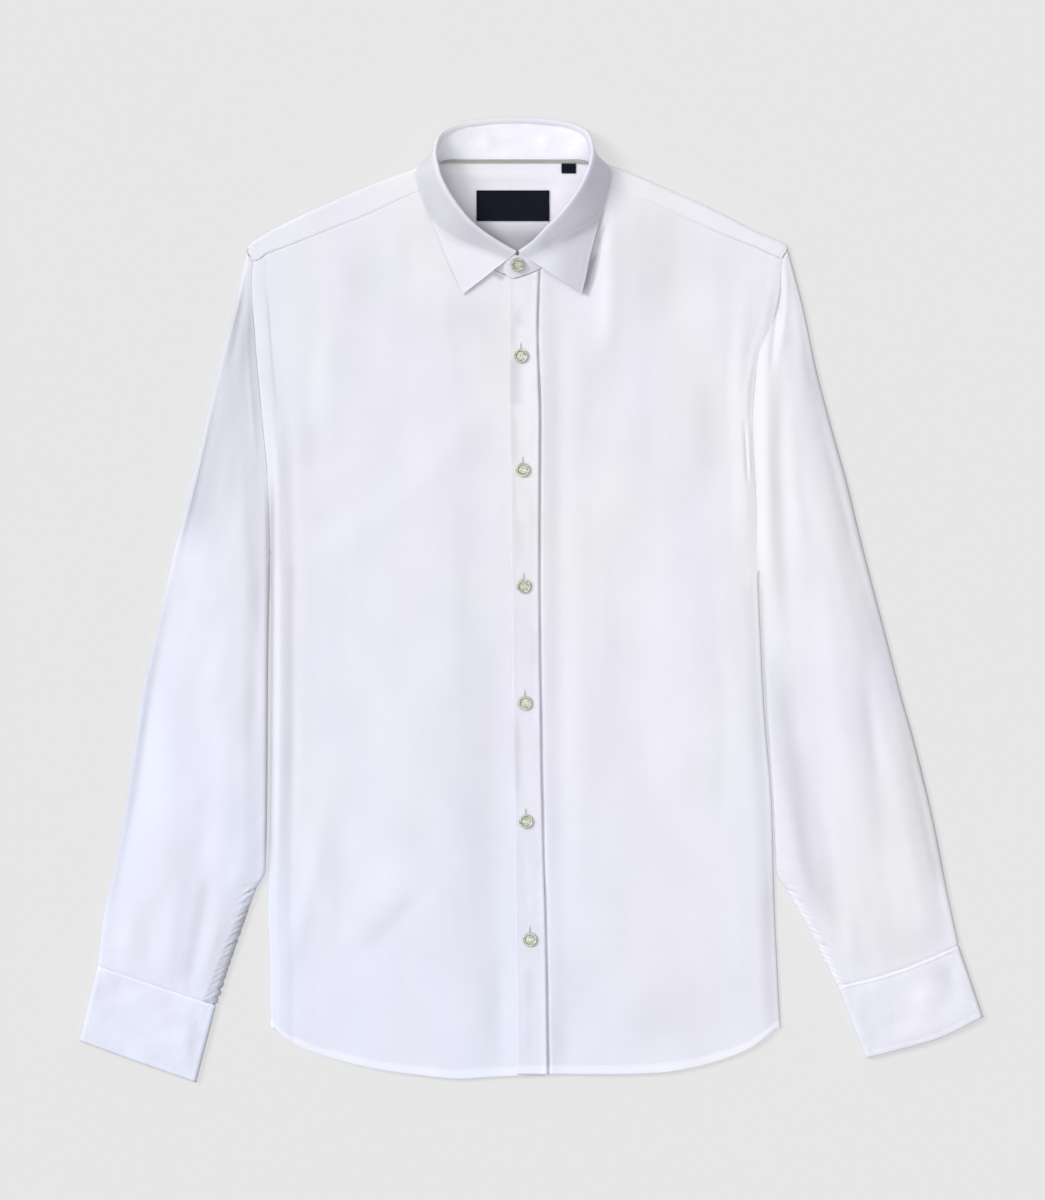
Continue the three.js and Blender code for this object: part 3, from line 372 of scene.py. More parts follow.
SLEEVE_PAINTED_SHADE = {
    "right": [
        (((-236, 262), (-242, 200), (-254, 150), (-268, 96), (-282, 46)), 15, 0.5, 34),
        (((-234, 240), (-240, 190)), 4, 0.25, 24),
        (((-223, 262), (-221, 200), (-217, 110)), 3, -0.25, 30),
        (((-231, 176), (-228, 60), (-226, -35)), 4.5, 0.22, 40),
        (((-301, 10), (-319, -75), (-336, -180), (-350, -255)), 5, 0.32, 34),
        (((-292, -120), (-297, -205)), 14, -0.16, 34),
        (((-256, 0), (-262, -90), (-266, -160)), 18, -0.07, 40),
        (((-270, -232), (-279, -276), (-288, -322)), 6, 0.2, 18),
        (((-218, 92), (-219, -225)), 2.4, 0.8, 30),
        (((-365, -305), (-358, -270)), 4, 0.2, 8),
    ],
    "left": [
        (((208, -50), (216, -130), (231, -215), (249, -285)), 12, 0.34, 50),
        (((204, 262), (199, 232)), 2.4, 0.25, 10),
        (((203, 160), (204, 60), (208, -20)), 6, 0.2, 40),
        (((190, 235), (189, 130), (193, 15)), 5, -0.16, 40),
        (((226, 212), (243, 147), (257, 97), (270, 45), (290, -33), (313, -115), (340, -240)),
         6.5, 0.4, 30),
        (((213, 291), (225.5, 243), (236.7, 190), (248, 147), (262, 97), (274.5, 45), (295, -33),
          (308, -83), (317, -115), (334, -185), (346.5, -248), (355, -287)), 1.2, 0.7, 4),
        (((214, -240), (229, -266), (246, -299), (256, -320)), 4, -0.16, 8),
        (((190, 20), (195, -90), (203, -228)), 1.4, 0.5, 20),
        (((209, 288), (204, 283)), 1.6, 0.6, 3),
        (((274, 0), (280, -119), (288, -235)), 8, 0.16, 50),
        (((222, 124), (223, 60)), 9, -0.13, 24),
        (((236, 0), (254, -133), (273, -212)), 9, -0.05, 40),
        (((205, 284), (198, 246)), 4, -0.16, 12),
        (((300, -262), (306, -296)), 26, 0.1, 16),
    ],
}
LEAF_PAINTED_SHADE = [
    (((8, 291), (34, 303), (60, 320)), 4.5, 0.26, 8),
    (((10, 286), (34, 297), (58, 311)), 4, 0.1, 8),
    (((0, 288), (16, 297)), 6, 0.12, 8),
    (((-88, 344), (-84, 316), (-66, 288)), 7, 0.1, 16),
]
CUFF_PAINTED_SHADE = [
    (((342, -302), (350, -326)), 8, 0.22, 10),
    (((268, -334), (284, -370)), 5, 0.14, 12),
    (((322, -318), (324, -352)), 10, -0.14, 12),
    (((-352, -318), (-356, -352)), 8, 0.1, 12),
    (((-318, -330), (-326, -360)), 10, -0.1, 12),
    (((-276, -352), (-282, -388)), 5, 0.14, 12),
]
PLACKET_PAINTED_SHADE = [
    (((-13.6, 200), (-13.2, 180), (-12.8, 161)), 4.2, 0.36, 5),
    (((-13.8, 152), (-13, 114)), 3, 0.22, 8),
    (((-13, 240), (-9, 226)), 4, 0.22, 6),
    (((-6, 218), (0, 212)), 3, 0.14, 4),
    (((-3, 262), (-2, 200), (-1, 80)), 8, -0.14, 30),
    (((-12, 70), (-10, 30)), 4, 0.12, 12),
    (((2, -20), (3, -60)), 4, 0.1, 14),
    (((4, 178), (5, 120)), 3, -0.1, 16),
    (((-12, -96), (-10, -170)), 4, 0.14, 20),
    (((0, -306), (1, -338)), 6, 0.14, 10),
]

# Shallow creases of the back, pressed up from the surface, and of the yoke inside the neck
BACK_FOLDS = [
    (((-150, 200), (-120, 60), (-130, -120)), 22, 0.7, 80),
    (((60, 230), (40, 80), (70, -160)), 26, 0.8, 90),
    (((150, 120), (120, -40), (140, -220)), 18, 0.6, 70),
    (((-40, 60), (-60, -120), (-30, -300)), 20, 0.6, 80),
    (((-180, -160), (-120, -230), (-60, -330)), 16, 0.6, 60),
    (((110, -200), (60, -280), (20, -350)), 18, 0.6, 60),
]
NECK_LINING_FOLDS = [
    (((-66, 330), (-52, 300)), 7, 0.7, 16),
    (((24, 350), (30, 326), (20, 304)), 6, 0.8, 14),
    (((-20, 310), (10, 302), (30, 310)), 6, 0.5, 16),
    (((-60, 352), (-20, 350), (20, 352)), 3.5, 0.4, 20),
]

# ---------------------------------------------------------------- curves and relief


def smooth(value, low, high):
    """0 below low, rising smoothly to 1 at high."""
    t = np.clip((np.asarray(value, float) - low) / (high - low), 0, 1)
    return t * t * (3 - 2 * t)


def fade(value, low, high):
    """1 below low, falling smoothly to 0 at high."""
    return 1 - smooth(value, low, high)


def bell(away, width):
    """1 on a line, falling off on both sides of it."""
    return np.exp(-((away / width) ** 2))


def mix(a, b, t):
    """From a at 0 to b at 1."""
    return a + (b - a) * t


def gone_along(points, axis=0):
    """Distance gone along lines of points, from 0 at the start of each."""
    steps = np.linalg.norm(np.diff(points, axis=axis), axis=-1)
    return np.concatenate([0 * steps.take([0], axis), np.cumsum(steps, axis=axis)], axis=axis)


def through(rows):
    """A smooth curve through (key, value) rows that never overshoots them."""
    rows = sorted(rows)
    keys = np.array([row[0] for row in rows], float)
    values = np.array([row[1] for row in rows], float)
    steps = np.diff(keys)
    rates = np.diff(values) / steps
    slopes = np.concatenate([rates[:1], np.zeros(len(keys) - 2), rates[-1:]])
    for i in range(1, len(keys) - 1):
        if rates[i - 1] * rates[i] > 0:
            before = 2 * steps[i] + steps[i - 1]
            after = steps[i] + 2 * steps[i - 1]
            slopes[i] = (before + after) / (before / rates[i - 1] + after / rates[i])

    def read(at):
        place = np.clip(np.asarray(at, float), keys[0], keys[-1])
        i = np.clip(np.searchsorted(keys, place, side="right") - 1, 0, len(steps) - 1)
        t = (place - keys[i]) / steps[i]
        leaving = slopes[i] * (t - 2 * t**2 + t**3)
        arriving = slopes[i + 1] * (t**3 - t**2)
        even = (values[i + 1] - values[i]) * (3 * t**2 - 2 * t**3)
        return values[i] + even + steps[i] * (leaving + arriving)

    return read


def through_points(keys, points):
    """A smooth curve through points, read at any keys; returns an array of points."""
    axes = [through(list(zip(keys, [p[axis] for p in points]))) for axis in range(len(points[0]))]
    return lambda at: np.stack([axis(at) for axis in axes], axis=-1)


def by_length(points):
    """A smooth curve through points, read by the fraction of its length."""
    points = np.array(points, float)
    lengths = gone_along(points)
    return through_points(lengths / lengths[-1], points)


def folds(x, y, table):
    """Height or tone of soft ridges and troughs drawn along paths."""
    height = np.zeros(np.broadcast(x, y).shape)
    for path, width, top, ends in table:
        points = np.array(path, float)
        sizes = np.linalg.norm(np.diff(points, axis=0), axis=1)
        starts = np.concatenate([[0], np.cumsum(sizes)])
        nearest = np.full(height.shape, 1e9)
        along = np.zeros(height.shape)
        for (ax, ay), (bx, by), size, start in zip(points, points[1:], sizes, starts):
            t = ((x - ax) * (bx - ax) + (y - ay) * (by - ay)) / size**2
            last = start + size >= starts[-1] - 1e-6
            t = np.clip(t, -9 if start == 0 else 0, 9 if last else 1)
            gap = np.hypot(x - ax - (bx - ax) * t, y - ay - (by - ay) * t)
            closer = gap < nearest
            nearest = np.where(closer, gap, nearest)
            along = np.where(closer, start + t * size, along)
        taper = smooth(along, -ends * 0.5, ends) * smooth(starts[-1] - along, -ends * 0.5, ends)
        height += top * taper * bell(nearest, width)
    return height


def ripple(x, y, wavelength, seed, count=7):
    """Smooth irregular waves of about one wavelength, from -1 to 1."""
    draw = np.random.default_rng(seed)
    total = np.zeros(np.broadcast(x, y).shape)
    for angle, scale, phase in draw.random((count, 3)):
        k = 2 * math.pi / (wavelength * mix(0.7, 1.6, scale))
        a = 2 * math.pi * angle
        total += np.sin(k * (math.cos(a) * x + math.sin(a) * y) + 2 * math.pi * phase)
    return total / count * 1.6


def rippled(base, x, y, *waves):
    """A height or tone with ripples on it, each given by its height, wavelength and seed."""
    for height, wavelength, seed, *count in waves:
        base = base + height * ripple(x, y, wavelength, seed, *count)
    return base


def streaks(x, y, spacing, seed):
    """Uneven soft streaks that run down the cloth, from -1 to 1."""
    draw = np.random.default_rng(seed)
    total = np.zeros(np.broadcast(x, y).shape)
    count = 6
    for lean, scale, phase, swell in draw.random((count, 4)):
        across = x + (lean - 0.5) * 0.28 * y
        wave = np.sin(2 * math.pi * (across / (spacing * mix(0.6, 1.9, scale)) + phase))
        total += wave * (0.6 + 0.4 * np.sin(2 * math.pi * (y / mix(150, 320, swell) + phase * 3)))
    return total / count * 1.7


def puckers(along, away, height, wavelength, reach, seed):
    """Small uneven gathers beside a line of stitching."""
    draw = np.random.default_rng(seed)
    total = np.zeros(np.broadcast(along, away).shape)
    slanted = along + 0.35 * away
    for scale, phase in draw.random((5, 2)):
        k = 2 * math.pi / (wavelength * mix(0.6, 1.8, scale))
        total += np.sin(k * slanted + 2 * math.pi * phase)
    strength = 0.55 + 0.45 * ripple(along, 0 * along, wavelength * 9, seed + 1, 4)
    return height * total / 3 * strength * np.exp(-np.abs(away) / reach)


def painted_shade_and_uneven_tone(x, y, table):
    """Painted shade and painted light from a table, on a tone of the cloth that is a little uneven.
    """
    uneven = rippled(0, x, y, (0.035, 60, 101), (0.012, 19, 102))
    return np.clip(folds(x, y, table) + uneven, -0.4, 1)


body_edge = {side: through(rows) for side, rows in BODY_EDGE.items()}
shoulder_fold = through(SHOULDER_FOLD)
yoke_seam = through(YOKE_SEAM)
hem_line = {side: through(rows) for side, rows in HEM.items()}
placket_outer = through(PLACKET_OUTER)
placket_inner = through(PLACKET_INNER)
front_neck = {
    "right": through([row[0][:2] for row in COLLAR[:6]] + [STAND_END_RIGHT[0][0][:2]]),
    "left": through([row[0][:2] for row in COLLAR[-6:]] + [STAND_END_LEFT[0][0][:2]]),
}

# Height of the fronts by the distance in from the folded side, and from the armhole seam
SIDE_PROFILE = {
    "right": through([(4, 4.5), (8, 5.5), (13, 5.3), (20, 4.4), (38, 4.2), (90, 4.6)]),
    "left": through([(4, 3.5), (8, 4.5), (14, 5.4), (24, 5.6), (44, 4.9), (90, 4.6)]),
}
ARMHOLE_PROFILE = through([(0, 4.3), (1.1, 4.75), (3, 4.9), (8, 4.95), (9.6, 4.7), (14, 4.8),
                           (40, 4.6), (90, 4.6)])


def side_closed(side, y):
    """1 where the cloth is folded round the side, 0 where it ends at the armhole."""
    return smooth(ARMPIT[side] - y, 0, 22)


def front_height(side, x, y):
    """Height of a front's upper face over the surface."""
    away = np.abs(body_edge[side](y) - x)
    closed = side_closed(side, y)
    outer = mix(ARMHOLE_PROFILE(away), SIDE_PROFILE[side](away), closed)
    from_centre = np.where(x < -6, -6 - x, x + 6)
    base = mix(3.2, outer, smooth(from_centre, 14, 70))
    shoulder = 0.9 * fade(yoke_seam(x) - y, 0, 60)
    relief = FOLD_STRENGTH * folds(x, y, BODY_FOLDS)
    relief = relief + 0.25 * streaks(x, y, 34, 13) + 0.06 * streaks(x, y, 13, 14)
    relief = rippled(relief, x, y, (0.7, 90, 15), (0.25, 46, 11), (0.06, 17, 12))
    calm = smooth(from_centre, 4, 30)
    return base + shoulder + relief * mix(0.35, 1, calm)


def left_lap(x, y):
    """How much the left front is raised where it lies on the right one, less the gully beside
    the placket's sewn edge."""
    inner = placket_inner(y)
    gully = 1.3 * bell(x - inner - 1.3, 1.1) * smooth(x, inner - 1.5, inner + 1)
    return 1.1 * fade(x, inner + 1, inner + 20) - gully


# ---------------------------------------------------------------- meshes


def select_only(obj):
    """Make an object the only selected one, and the active one."""
    bpy.ops.object.select_all(action="DESELECT")
    obj.select_set(True)
    bpy.context.view_layer.objects.active = obj


def grid_normals(grid, ring, flip):
    """Outward direction at each point of a grid; a ring's last column joins its first."""
    if ring:
        across = np.roll(grid, -1, axis=1) - np.roll(grid, 1, axis=1)
    else:
        across = np.gradient(grid, axis=1)
    along = np.gradient(grid, axis=0)
    normal = np.cross(across, along) * (-1 if flip else 1)
    length = np.linalg.norm(normal, axis=2, keepdims=True)
    return normal / np.maximum(length, 1e-9)


def new_object(name, points, faces, smooth_angle=40):
    """A mesh object from points in millimetres."""
    mesh = bpy.data.meshes.new(name)
    mesh.from_pydata((np.asarray(points, float) * MM).tolist(), [], faces)
    mesh.update()
    obj = bpy.data.objects.new(name, mesh)
    bpy.context.scene.collection.objects.link(obj)
    select_only(obj)
    bpy.ops.object.shade_smooth_by_angle(angle=math.radians(smooth_angle))
    return obj


def mark_points(obj, name, values):
    """Store one number for each point of the mesh, for its material."""
    marks = obj.data.attributes.new(name, "FLOAT", "POINT")
    marks.data.foreach_set("value", values.astype(np.float32))


def cloth(name, grid, thickness, relief=0.0, ring=False, flip=False, deep=0.0, cool=0.0):
    """A closed cloth wall under a grid of points. Returns the object and its outer surface, as
    points and normals. Painted shade on the cloth, up to 1, with painted light below zero, is
    stored as the first mark; cool is where the cloth is cooler, up to 1."""
    rows, columns = grid.shape[:2]
    normal = grid_normals(grid, ring, flip)
    outer = grid + normal * np.broadcast_to(relief, (rows, columns))[..., None]
    inner = outer - normal * np.broadcast_to(thickness, (rows, columns))[..., None]
    count = rows * columns
    index = np.arange(count).reshape(rows, columns)
    if ring:
        index = np.concatenate([index, index[:, :1]], axis=1)
    a, b = index[:-1, :-1].ravel(), index[:-1, 1:].ravel()
    d, c = index[1:, :-1].ravel(), index[1:, 1:].ravel()
    quads = [np.stack([a, b, c, d], 1), np.stack([a, d, c, b], 1) + count]

    def rim(start, end):
        quads.append(np.stack([start, start + count, end + count, end], 1))

    rim(index[0, :-1], index[0, 1:])
    rim(index[-1, 1:], index[-1, :-1])
    if not ring:
        rim(index[1:, 0], index[:-1, 0])
        rim(index[:-1, -1], index[1:, -1])
    faces = np.concatenate(quads)
    if flip:
        faces = faces[:, ::-1]
    points = np.concatenate([outer.reshape(-1, 3), inner.reshape(-1, 3)])
    points[:, 2] = np.maximum(points[:, 2], 0)
    obj = new_object(name, points, faces.tolist())
    across, down = gone_along(grid, axis=1).ravel(), gone_along(grid).ravel()
    flat = np.tile(np.stack([across, down], 1), (2, 1)) * MM
    corners = np.empty(len(obj.data.loops), np.int32)
    obj.data.loops.foreach_get("vertex_index", corners)
    layer = obj.data.uv_layers.new(name="cloth")
    layer.data.foreach_set("uv", flat[corners].astype(np.float32).ravel())
    # Painted shade and painted light are stored on each point for the material, beside cool.
    for mark, tone in (("deep", deep), ("cool", cool)):
        mark_points(obj, mark, np.tile(np.broadcast_to(tone, (rows, columns)).ravel(), 2))
    return obj, (outer, normal)


def thread_marks(name, middle, ahead, up, length, radius=THREAD_RADIUS):
    """Short lengths of thread, each half sunk in the cloth, in one mesh."""
    ahead = ahead / np.linalg.norm(ahead, axis=1, keepdims=True)
    side = np.cross(ahead, up)
    turns = 2 * math.pi * np.arange(THREAD_SIDES) / THREAD_SIDES
    count, last = len(middle), THREAD_POINTS - 1
    points = np.empty((count, THREAD_POINTS, 3))
    points[:, 0] = middle - ahead * length / 2 - up * radius
    points[:, last] = middle + ahead * length / 2 - up * radius
    for ring, (at, size, rise) in enumerate(THREAD_RINGS):
        centre = middle + ahead * length * at + up * radius * rise
        for k, turn in enumerate(turns):
            spoke = side * math.cos(turn) + up * math.sin(turn)
            points[:, 1 + THREAD_SIDES * ring + k] = centre + spoke * radius * size
    faces = []
    for k in range(THREAD_SIDES):
        other = (k + 1) % THREAD_SIDES
        end = last - THREAD_SIDES
        faces += [(0, 1 + other, 1 + k), (last, end + k, end + other)]
        for ring in (1, 1 + THREAD_SIDES):
            following = ring + THREAD_SIDES
            faces.append((ring + k, ring + other, following + other, following + k))
    every = [tuple(v + THREAD_POINTS * i for v in face) for i in range(count) for face in faces]
    return new_object(name, points.reshape(-1, 3), every, 60)


def stitched(name, lines, length, pitch=STITCH_PITCH, radius=THREAD_RADIUS):
    """Running stitches along lines, each given as its points and normals."""
    middles, aheads, ups = [], [], []
    for path, normals in lines:
        place = gone_along(path)
        centres = np.arange(pitch, place[-1] - pitch, pitch)

        def read(at, values):
            return np.stack([np.interp(at, place, values[:, k]) for k in range(3)], 1)

        middles.append(read(centres, path))
        ups.append(read(centres, normals))
        aheads.append(read(centres + length / 2, path) - read(centres - length / 2, path))
    return thread_marks(name, *(np.concatenate(v) for v in (middles, aheads, ups)), length, radius)


def finish_piece(obj, material, slot_name, *nodes):
    """Give a piece its material, hang it under the root body and hide the CAD parts of the nodes
    that it stands for. The slot name is not used.
    """
    obj.data.materials.clear()
    obj.data.materials.append(material)
    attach(obj, "root")
    if nodes:
        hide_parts(*nodes)


# ---------------------------------------------------------------- materials


class Value:
    """A node's output socket that can be used in arithmetic."""

    def __init__(self, paint, socket):
        self.paint, self.socket = paint, socket

    def math(self, operation, *others, swapped=False):
        values = [self, *others]
        if swapped:
            values.reverse()
        return self.paint.node("ShaderNodeMath", {"operation": operation}, dict(enumerate(values)))

    def __add__(self, other):
        return self.math("ADD", other)

    def __radd__(self, other):
        return self.math("ADD", other)

    def __sub__(self, other):
        return self.math("SUBTRACT", other)

    def __rsub__(self, other):
        return self.math("SUBTRACT", other, swapped=True)

    def __mul__(self, other):
        return self.math("MULTIPLY", other)

    def __rmul__(self, other):
        return self.math("MULTIPLY", other)

    def sine(self):
        return self.math("SINE")

    def part(self, axis):
        return self.paint.node("ShaderNodeSeparateXYZ", {}, {0: self}, axis)


class Paint:
    """A material and the one way of adding nodes to it."""

    def __init__(self, name, **constants):
        self.material = bpy.data.materials.new(name)
        self.material.use_nodes = True
        self.nodes = self.material.node_tree.nodes
        self.surface = self.nodes["Principled BSDF"]
        for socket, value in constants.items():
            self.surface.inputs[socket.replace("_", " ")].default_value = value

    def node(self, kind, settings, inputs, output=0):
        node = self.nodes.new(kind)
        for name, value in settings.items():
            setattr(node, name, value)
        for name, value in inputs.items():
            self.feed(node.inputs[name], value)
        return Value(self, node.outputs[output])

    def feed(self, socket, value):
        if isinstance(value, Value):
            self.material.node_tree.links.new(value.socket, socket)
        else:
            socket.default_value = value

    def noise(self, vector, scale, detail=2.0):
        inputs = {"Vector": vector, "Scale": scale, "Detail": detail}
        return self.node("ShaderNodeTexNoise", {}, inputs)

    def stretched(self, vector, scale):
        return self.node("ShaderNodeMapping", {}, {"Vector": vector, "Scale": scale})

    def place(self):
        """The place on the object, in metres."""
        return self.node("ShaderNodeTexCoord", {}, {}, "Object")

    def along_cloth(self):
        """The place on the flat cloth, in metres."""
        return self.node("ShaderNodeUVMap", {"uv_map": "cloth"}, {})

    def mark(self, name):
        """A number stored for each point of the mesh."""
        return self.node("ShaderNodeAttribute", {"attribute_name": name}, {}, "Fac")

    def blend(self, factor, first, second):
        """A colour between two colours; sockets 0, 6 and 7 are the factor and the colours."""
        settings = {"data_type": "RGBA"}
        return self.node("ShaderNodeMix", settings, {0: factor, 6: first, 7: second}, 2)

    def scaled(self, colour, factor):
        inputs = {"Vector": colour, "Scale": factor}
        return self.node("ShaderNodeVectorMath", {"operation": "SCALE"}, inputs)

    def finish(self, colour, roughness, height, distance, strength=1.0):
        """Set the colour, the roughness and a bump; returns the material."""
        self.feed(self.surface.inputs["Base Color"], colour)
        self.feed(self.surface.inputs["Roughness"], roughness)
        inputs = {"Height": height, "Distance": distance, "Strength": strength}
        self.feed(self.surface.inputs["Normal"], self.node("ShaderNodeBump", {}, inputs))
        return self.material


def shade(colour, factor):
    """The colour made darker or lighter."""
    return tuple(c * factor for c in colour[:3]) + (1.0,)


def cotton_material(colour, cool, warm, thread_pitch):
    """Fine plain weave that follows the cloth, faint slubs, and painted shade and painted light
    from the marks on the points. The colour drifts slowly to cool and to lilac."""
    paint = Paint("fine_cotton", Sheen_Weight=0.12, Sheen_Roughness=0.5, Specular_IOR_Level=0.3)
    flat = paint.along_cloth()
    turns = 2 * math.pi / thread_pitch
    warp, weft = ((flat.part(axis) * turns).sine() for axis in (0, 1))
    slubs = paint.noise(paint.stretched(flat, (900, 60, 1)), 1.0) + paint.noise(
        paint.stretched(flat, (60, 900, 1)), 1.0)
    place = paint.place()
    tall = paint.stretched(place, (1, 0.35, 1))
    aside = place.part(0)
    drift = 0.28 - 2.0 * aside - 1.7 * place.part(1) + 1.2 * (paint.noise(tall, 7.0, 1.0) - 0.5)
    tint = paint.blend(drift + paint.mark("cool"), colour, cool)
    lilac = 2.4 * paint.noise(tall, 12.0, 1.0) - 0.85 + aside * (0.3 - 2.0 * aside)
    tint = paint.blend(lilac, tint, warm)
    # Painted shade: darker where the points are marked, and painted light where the mark is below
    # zero.
    slubs_and_painted_shade = (0.997 + 0.003 * slubs) * (1 - 0.4 * paint.mark("deep"))
    weave = warp * weft + 0.2 * slubs
    return paint.finish(paint.scaled(tint, slubs_and_painted_shade), 0.72 + 0.12 * slubs, weave, 0.00003, 0.6)


def thread_material(colour):
    """Twisted thread, drawn dark where it is marked: painted shade in the buttonholes' slits."""
    paint = Paint("sewing_thread", Sheen_Weight=0.2)
    twist = paint.noise(paint.place(), 2500.0)
    tone = paint.blend(twist, shade(colour, 0.96), shade(colour, 1.02))
    # Painted shade: marked thread is drawn dark.
    tone = paint.scaled(tone, 1 - 0.85 * paint.mark("deep"))
    return paint.finish(tone, 0.55 + 0.2 * twist, twist, 0.0001, 0.5)


def tape_material(colour):
    """Grey-green tape with a slanted rib."""
    paint = Paint("neck_tape_twill", Sheen_Weight=0.1)
    flat = paint.along_cloth()
    rib = ((flat.part(0) + flat.part(1)) * (2 * math.pi / 0.0012)).sine() * 0.5 + 0.5
    fibre = paint.noise(paint.stretched(flat, (200, 1600, 1)), 1.0)
    tone = paint.blend(rib * 0.6 + fibre * 0.4, shade(colour, 0.72), shade(colour, 1.2))
    return paint.finish(tone, 0.8 + 0.1 * fibre, rib + 0.5 * fibre, 0.00015)


def label_material(colour):
    """Dense dark satin weave with fine ribs across."""
    paint = Paint("label_satin", Sheen_Weight=0.01, Sheen_Roughness=0.4, Specular_IOR_Level=0.12)
    flat = paint.along_cloth()
    rib = (flat.part(1) * (2 * math.pi / 0.0007)).sine() * 0.5 + 0.5
    fibre = paint.noise(paint.stretched(flat, (150, 2400, 1)), 1.0)
    tone = paint.blend(rib * 0.5 + fibre * 0.5, shade(colour, 0.75), shade(colour, 1.5))
    return paint.finish(tone, 0.62 + 0.14 * fibre, rib + fibre, 0.0001)


def button_material(colour):
    """Pearly resin: soft swirls, painted shade round the dish and the rim, and a clear coat."""
    paint = Paint("button_pearl", Coat_Roughness=0.08, IOR=1.55, Specular_IOR_Level=0.6)
    place = paint.place()
    swirl = 2.4 * paint.noise(paint.stretched(place, (260, 520, 260)), 1.0, 4.0) - 0.7
    fleck = paint.noise(place, 1500.0)
    tone = paint.blend(swirl, shade(colour, 0.55), (0.93, 0.94, 0.8, 1))
    # Painted shade on the rim's side and the dish's wall.
    tone = paint.scaled(tone, 1 - 0.62 * paint.mark("deep"))
    paint.feed(paint.surface.inputs["Coat Weight"], 0.5 + 0.4 * swirl)
    return paint.finish(tone, 0.16 + 0.14 * fleck, swirl, 0.0001, 0.4)


def surface_material(colour):
    """Pale even surface with a faint glow of its own, so that shadows on it stay light."""
    paint = Paint("pale_surface", Specular_IOR_Level=0.1, Emission_Strength=0.505,
                  Emission_Color=(1, 1, 1, 1))
    grain = paint.noise(paint.place(), 6.0)
    tone = paint.blend(grain, shade(colour, 0.997), shade(colour, 1.003))
    paint.feed(paint.surface.inputs["Base Color"], tone)
    paint.feed(paint.surface.inputs["Roughness"], 0.9 + 0.05 * grain)
    return paint.material


def material(name, make, *values):
    """The material of a name, made the first time it is asked for."""
    return bpy.data.materials.get(name) or make(*values)


# ---------------------------------------------------------------- laying out panels


def graded(length, step, start=(0.0, 1.0), end=(0.0, 1.0)):
    """Fractions of a length in even steps, with finer ones at each end: (reach, step)."""
    first = np.arange(0, start[0], start[1])
    last = length - np.arange(0, end[0], end[1])[::-1]
    low, high = start[0], length - end[0]
    middle = np.linspace(low, high, max(2, round((high - low) / step) + 1))
    return np.unique(np.round(np.concatenate([first, middle, last]) / length, 6))


def folded_edge(distance, height, reach):
    """Outer face of a folded edge, by the distance gone round it from its top: out and up."""
    half = height / 2
    girth = math.pi / 2 * (reach + half)
    turn = np.minimum(distance / girth, 1) * math.pi
    beyond = np.maximum(distance - girth, 0)
    return reach * np.sin(turn) - beyond, np.where(distance > girth, 0, half + half * np.cos(turn))


def lines_inside(surface, distance, *edges):
    """The lines a set distance in from edges of a surface, each with its normals."""
    views = {
        "first column": lambda grid: grid,
        "last column": lambda grid: grid[:, ::-1],
        "first row": lambda grid: grid.transpose(1, 0, 2),
        "last row": lambda grid: grid[::-1].transpose(1, 0, 2),
    }
    lines = []
    for edge in edges:
        outer, normal = (views[edge](grid) for grid in surface)
        rows = np.arange(len(outer))
        gone = gone_along(outer, axis=1)
        place = np.array([np.interp(distance, row, np.arange(len(row))) for row in gone])
        i = np.minimum(place.astype(int), outer.shape[1] - 2)
        t = (place - i)[:, None]
        lines.append(tuple(mix(grid[rows, i], grid[rows, i + 1], t) for grid in (outer, normal)))
    return lines


def part_of(surface, rows=slice(None), columns=slice(None)):
    """Some rows and columns of a surface."""
    return tuple(grid[rows, columns] for grid in surface)


def inside_neck(side, x):
    """Distance from the side of the neck towards its middle."""
    return x - NECK_SIDE["right"] if side == "right" else NECK_SIDE["left"] - x


def body_top(x, y):
    """Height of the upper face of whichever front lies at a place."""
    left = front_height("left", x, y) + left_lap(x, y)
    return np.where(x < NECK_MIDDLE, front_height("right", x, y), left)


def front_panel(side, centre_edge, extra):
    """One front: centre edge to side, then round the side and a little way under."""
    sign = SIGN[side]
    fractions = graded(200, 2.4, (32, 1.15), (26, 1.3))
    down = graded(690, 2.7, (14, 1.3), (16, 1.1))[:, None]
    nominal = mix(centre_edge(TOP_LEVEL), body_edge[side](TOP_LEVEL), fractions)
    in_neck = inside_neck(side, nominal) > 0
    top = np.where(in_neck, front_neck[side](nominal) - NECK_GAP, yoke_seam(nominal) - SEAM_GAP)
    bottom = hem_line[side](mix(centre_edge(HEM_LEVEL), body_edge[side](HEM_LEVEL), fractions))
    y = mix(top, bottom, down)
    closed = side_closed(side, y)
    edge = body_edge[side](y) - sign * mix(OPEN_STRIP, FOLD_REACH, closed)
    x = mix(centre_edge(y), edge, fractions)
    z = front_height(side, x, y) + extra(x, y)
    from_hem = y - hem_line[side](x)
    from_seam = np.abs(body_edge[side](y) - x)
    z += 0.45 * fade(from_hem, HEM_WIDTH - 1, HEM_WIDTH + 1)
    z += puckers(x, from_hem - HEM_WIDTH, 0.2, 8, 6, 21)
    z += puckers(y, from_seam - ARMHOLE_STITCH, 0.2, 7, 5, 22) * (1 - closed)
    z += puckers(x, (top - y) * (1 - in_neck), 0.16, 8, 7, 23) * (1 - in_neck)
    z -= 0.5 * fade(top - y, 0, 1.6) * (1 - in_neck)
    end = (x[:, -1:], y[:, -1:], z[:, -1:])
    girth = math.pi / 2 * (FOLD_REACH + end[2] / 2) + TURN_UNDER
    out, up = folded_edge(TURN_STEPS * girth, end[2], FOLD_REACH)
    turned = side_closed(side, end[1])
    strip = TURN_STEPS * (OPEN_STRIP + ARMHOLE_LAP)
    x = np.concatenate([x, end[0] + sign * mix(strip, out, turned)], 1)
    z = np.concatenate([z, mix(end[2] * (1 - 0.06 * TURN_STEPS), up, turned)], 1)
    y = np.concatenate([y, end[1] + 0 * TURN_STEPS], 1)
    return np.stack([x, y, z], -1)


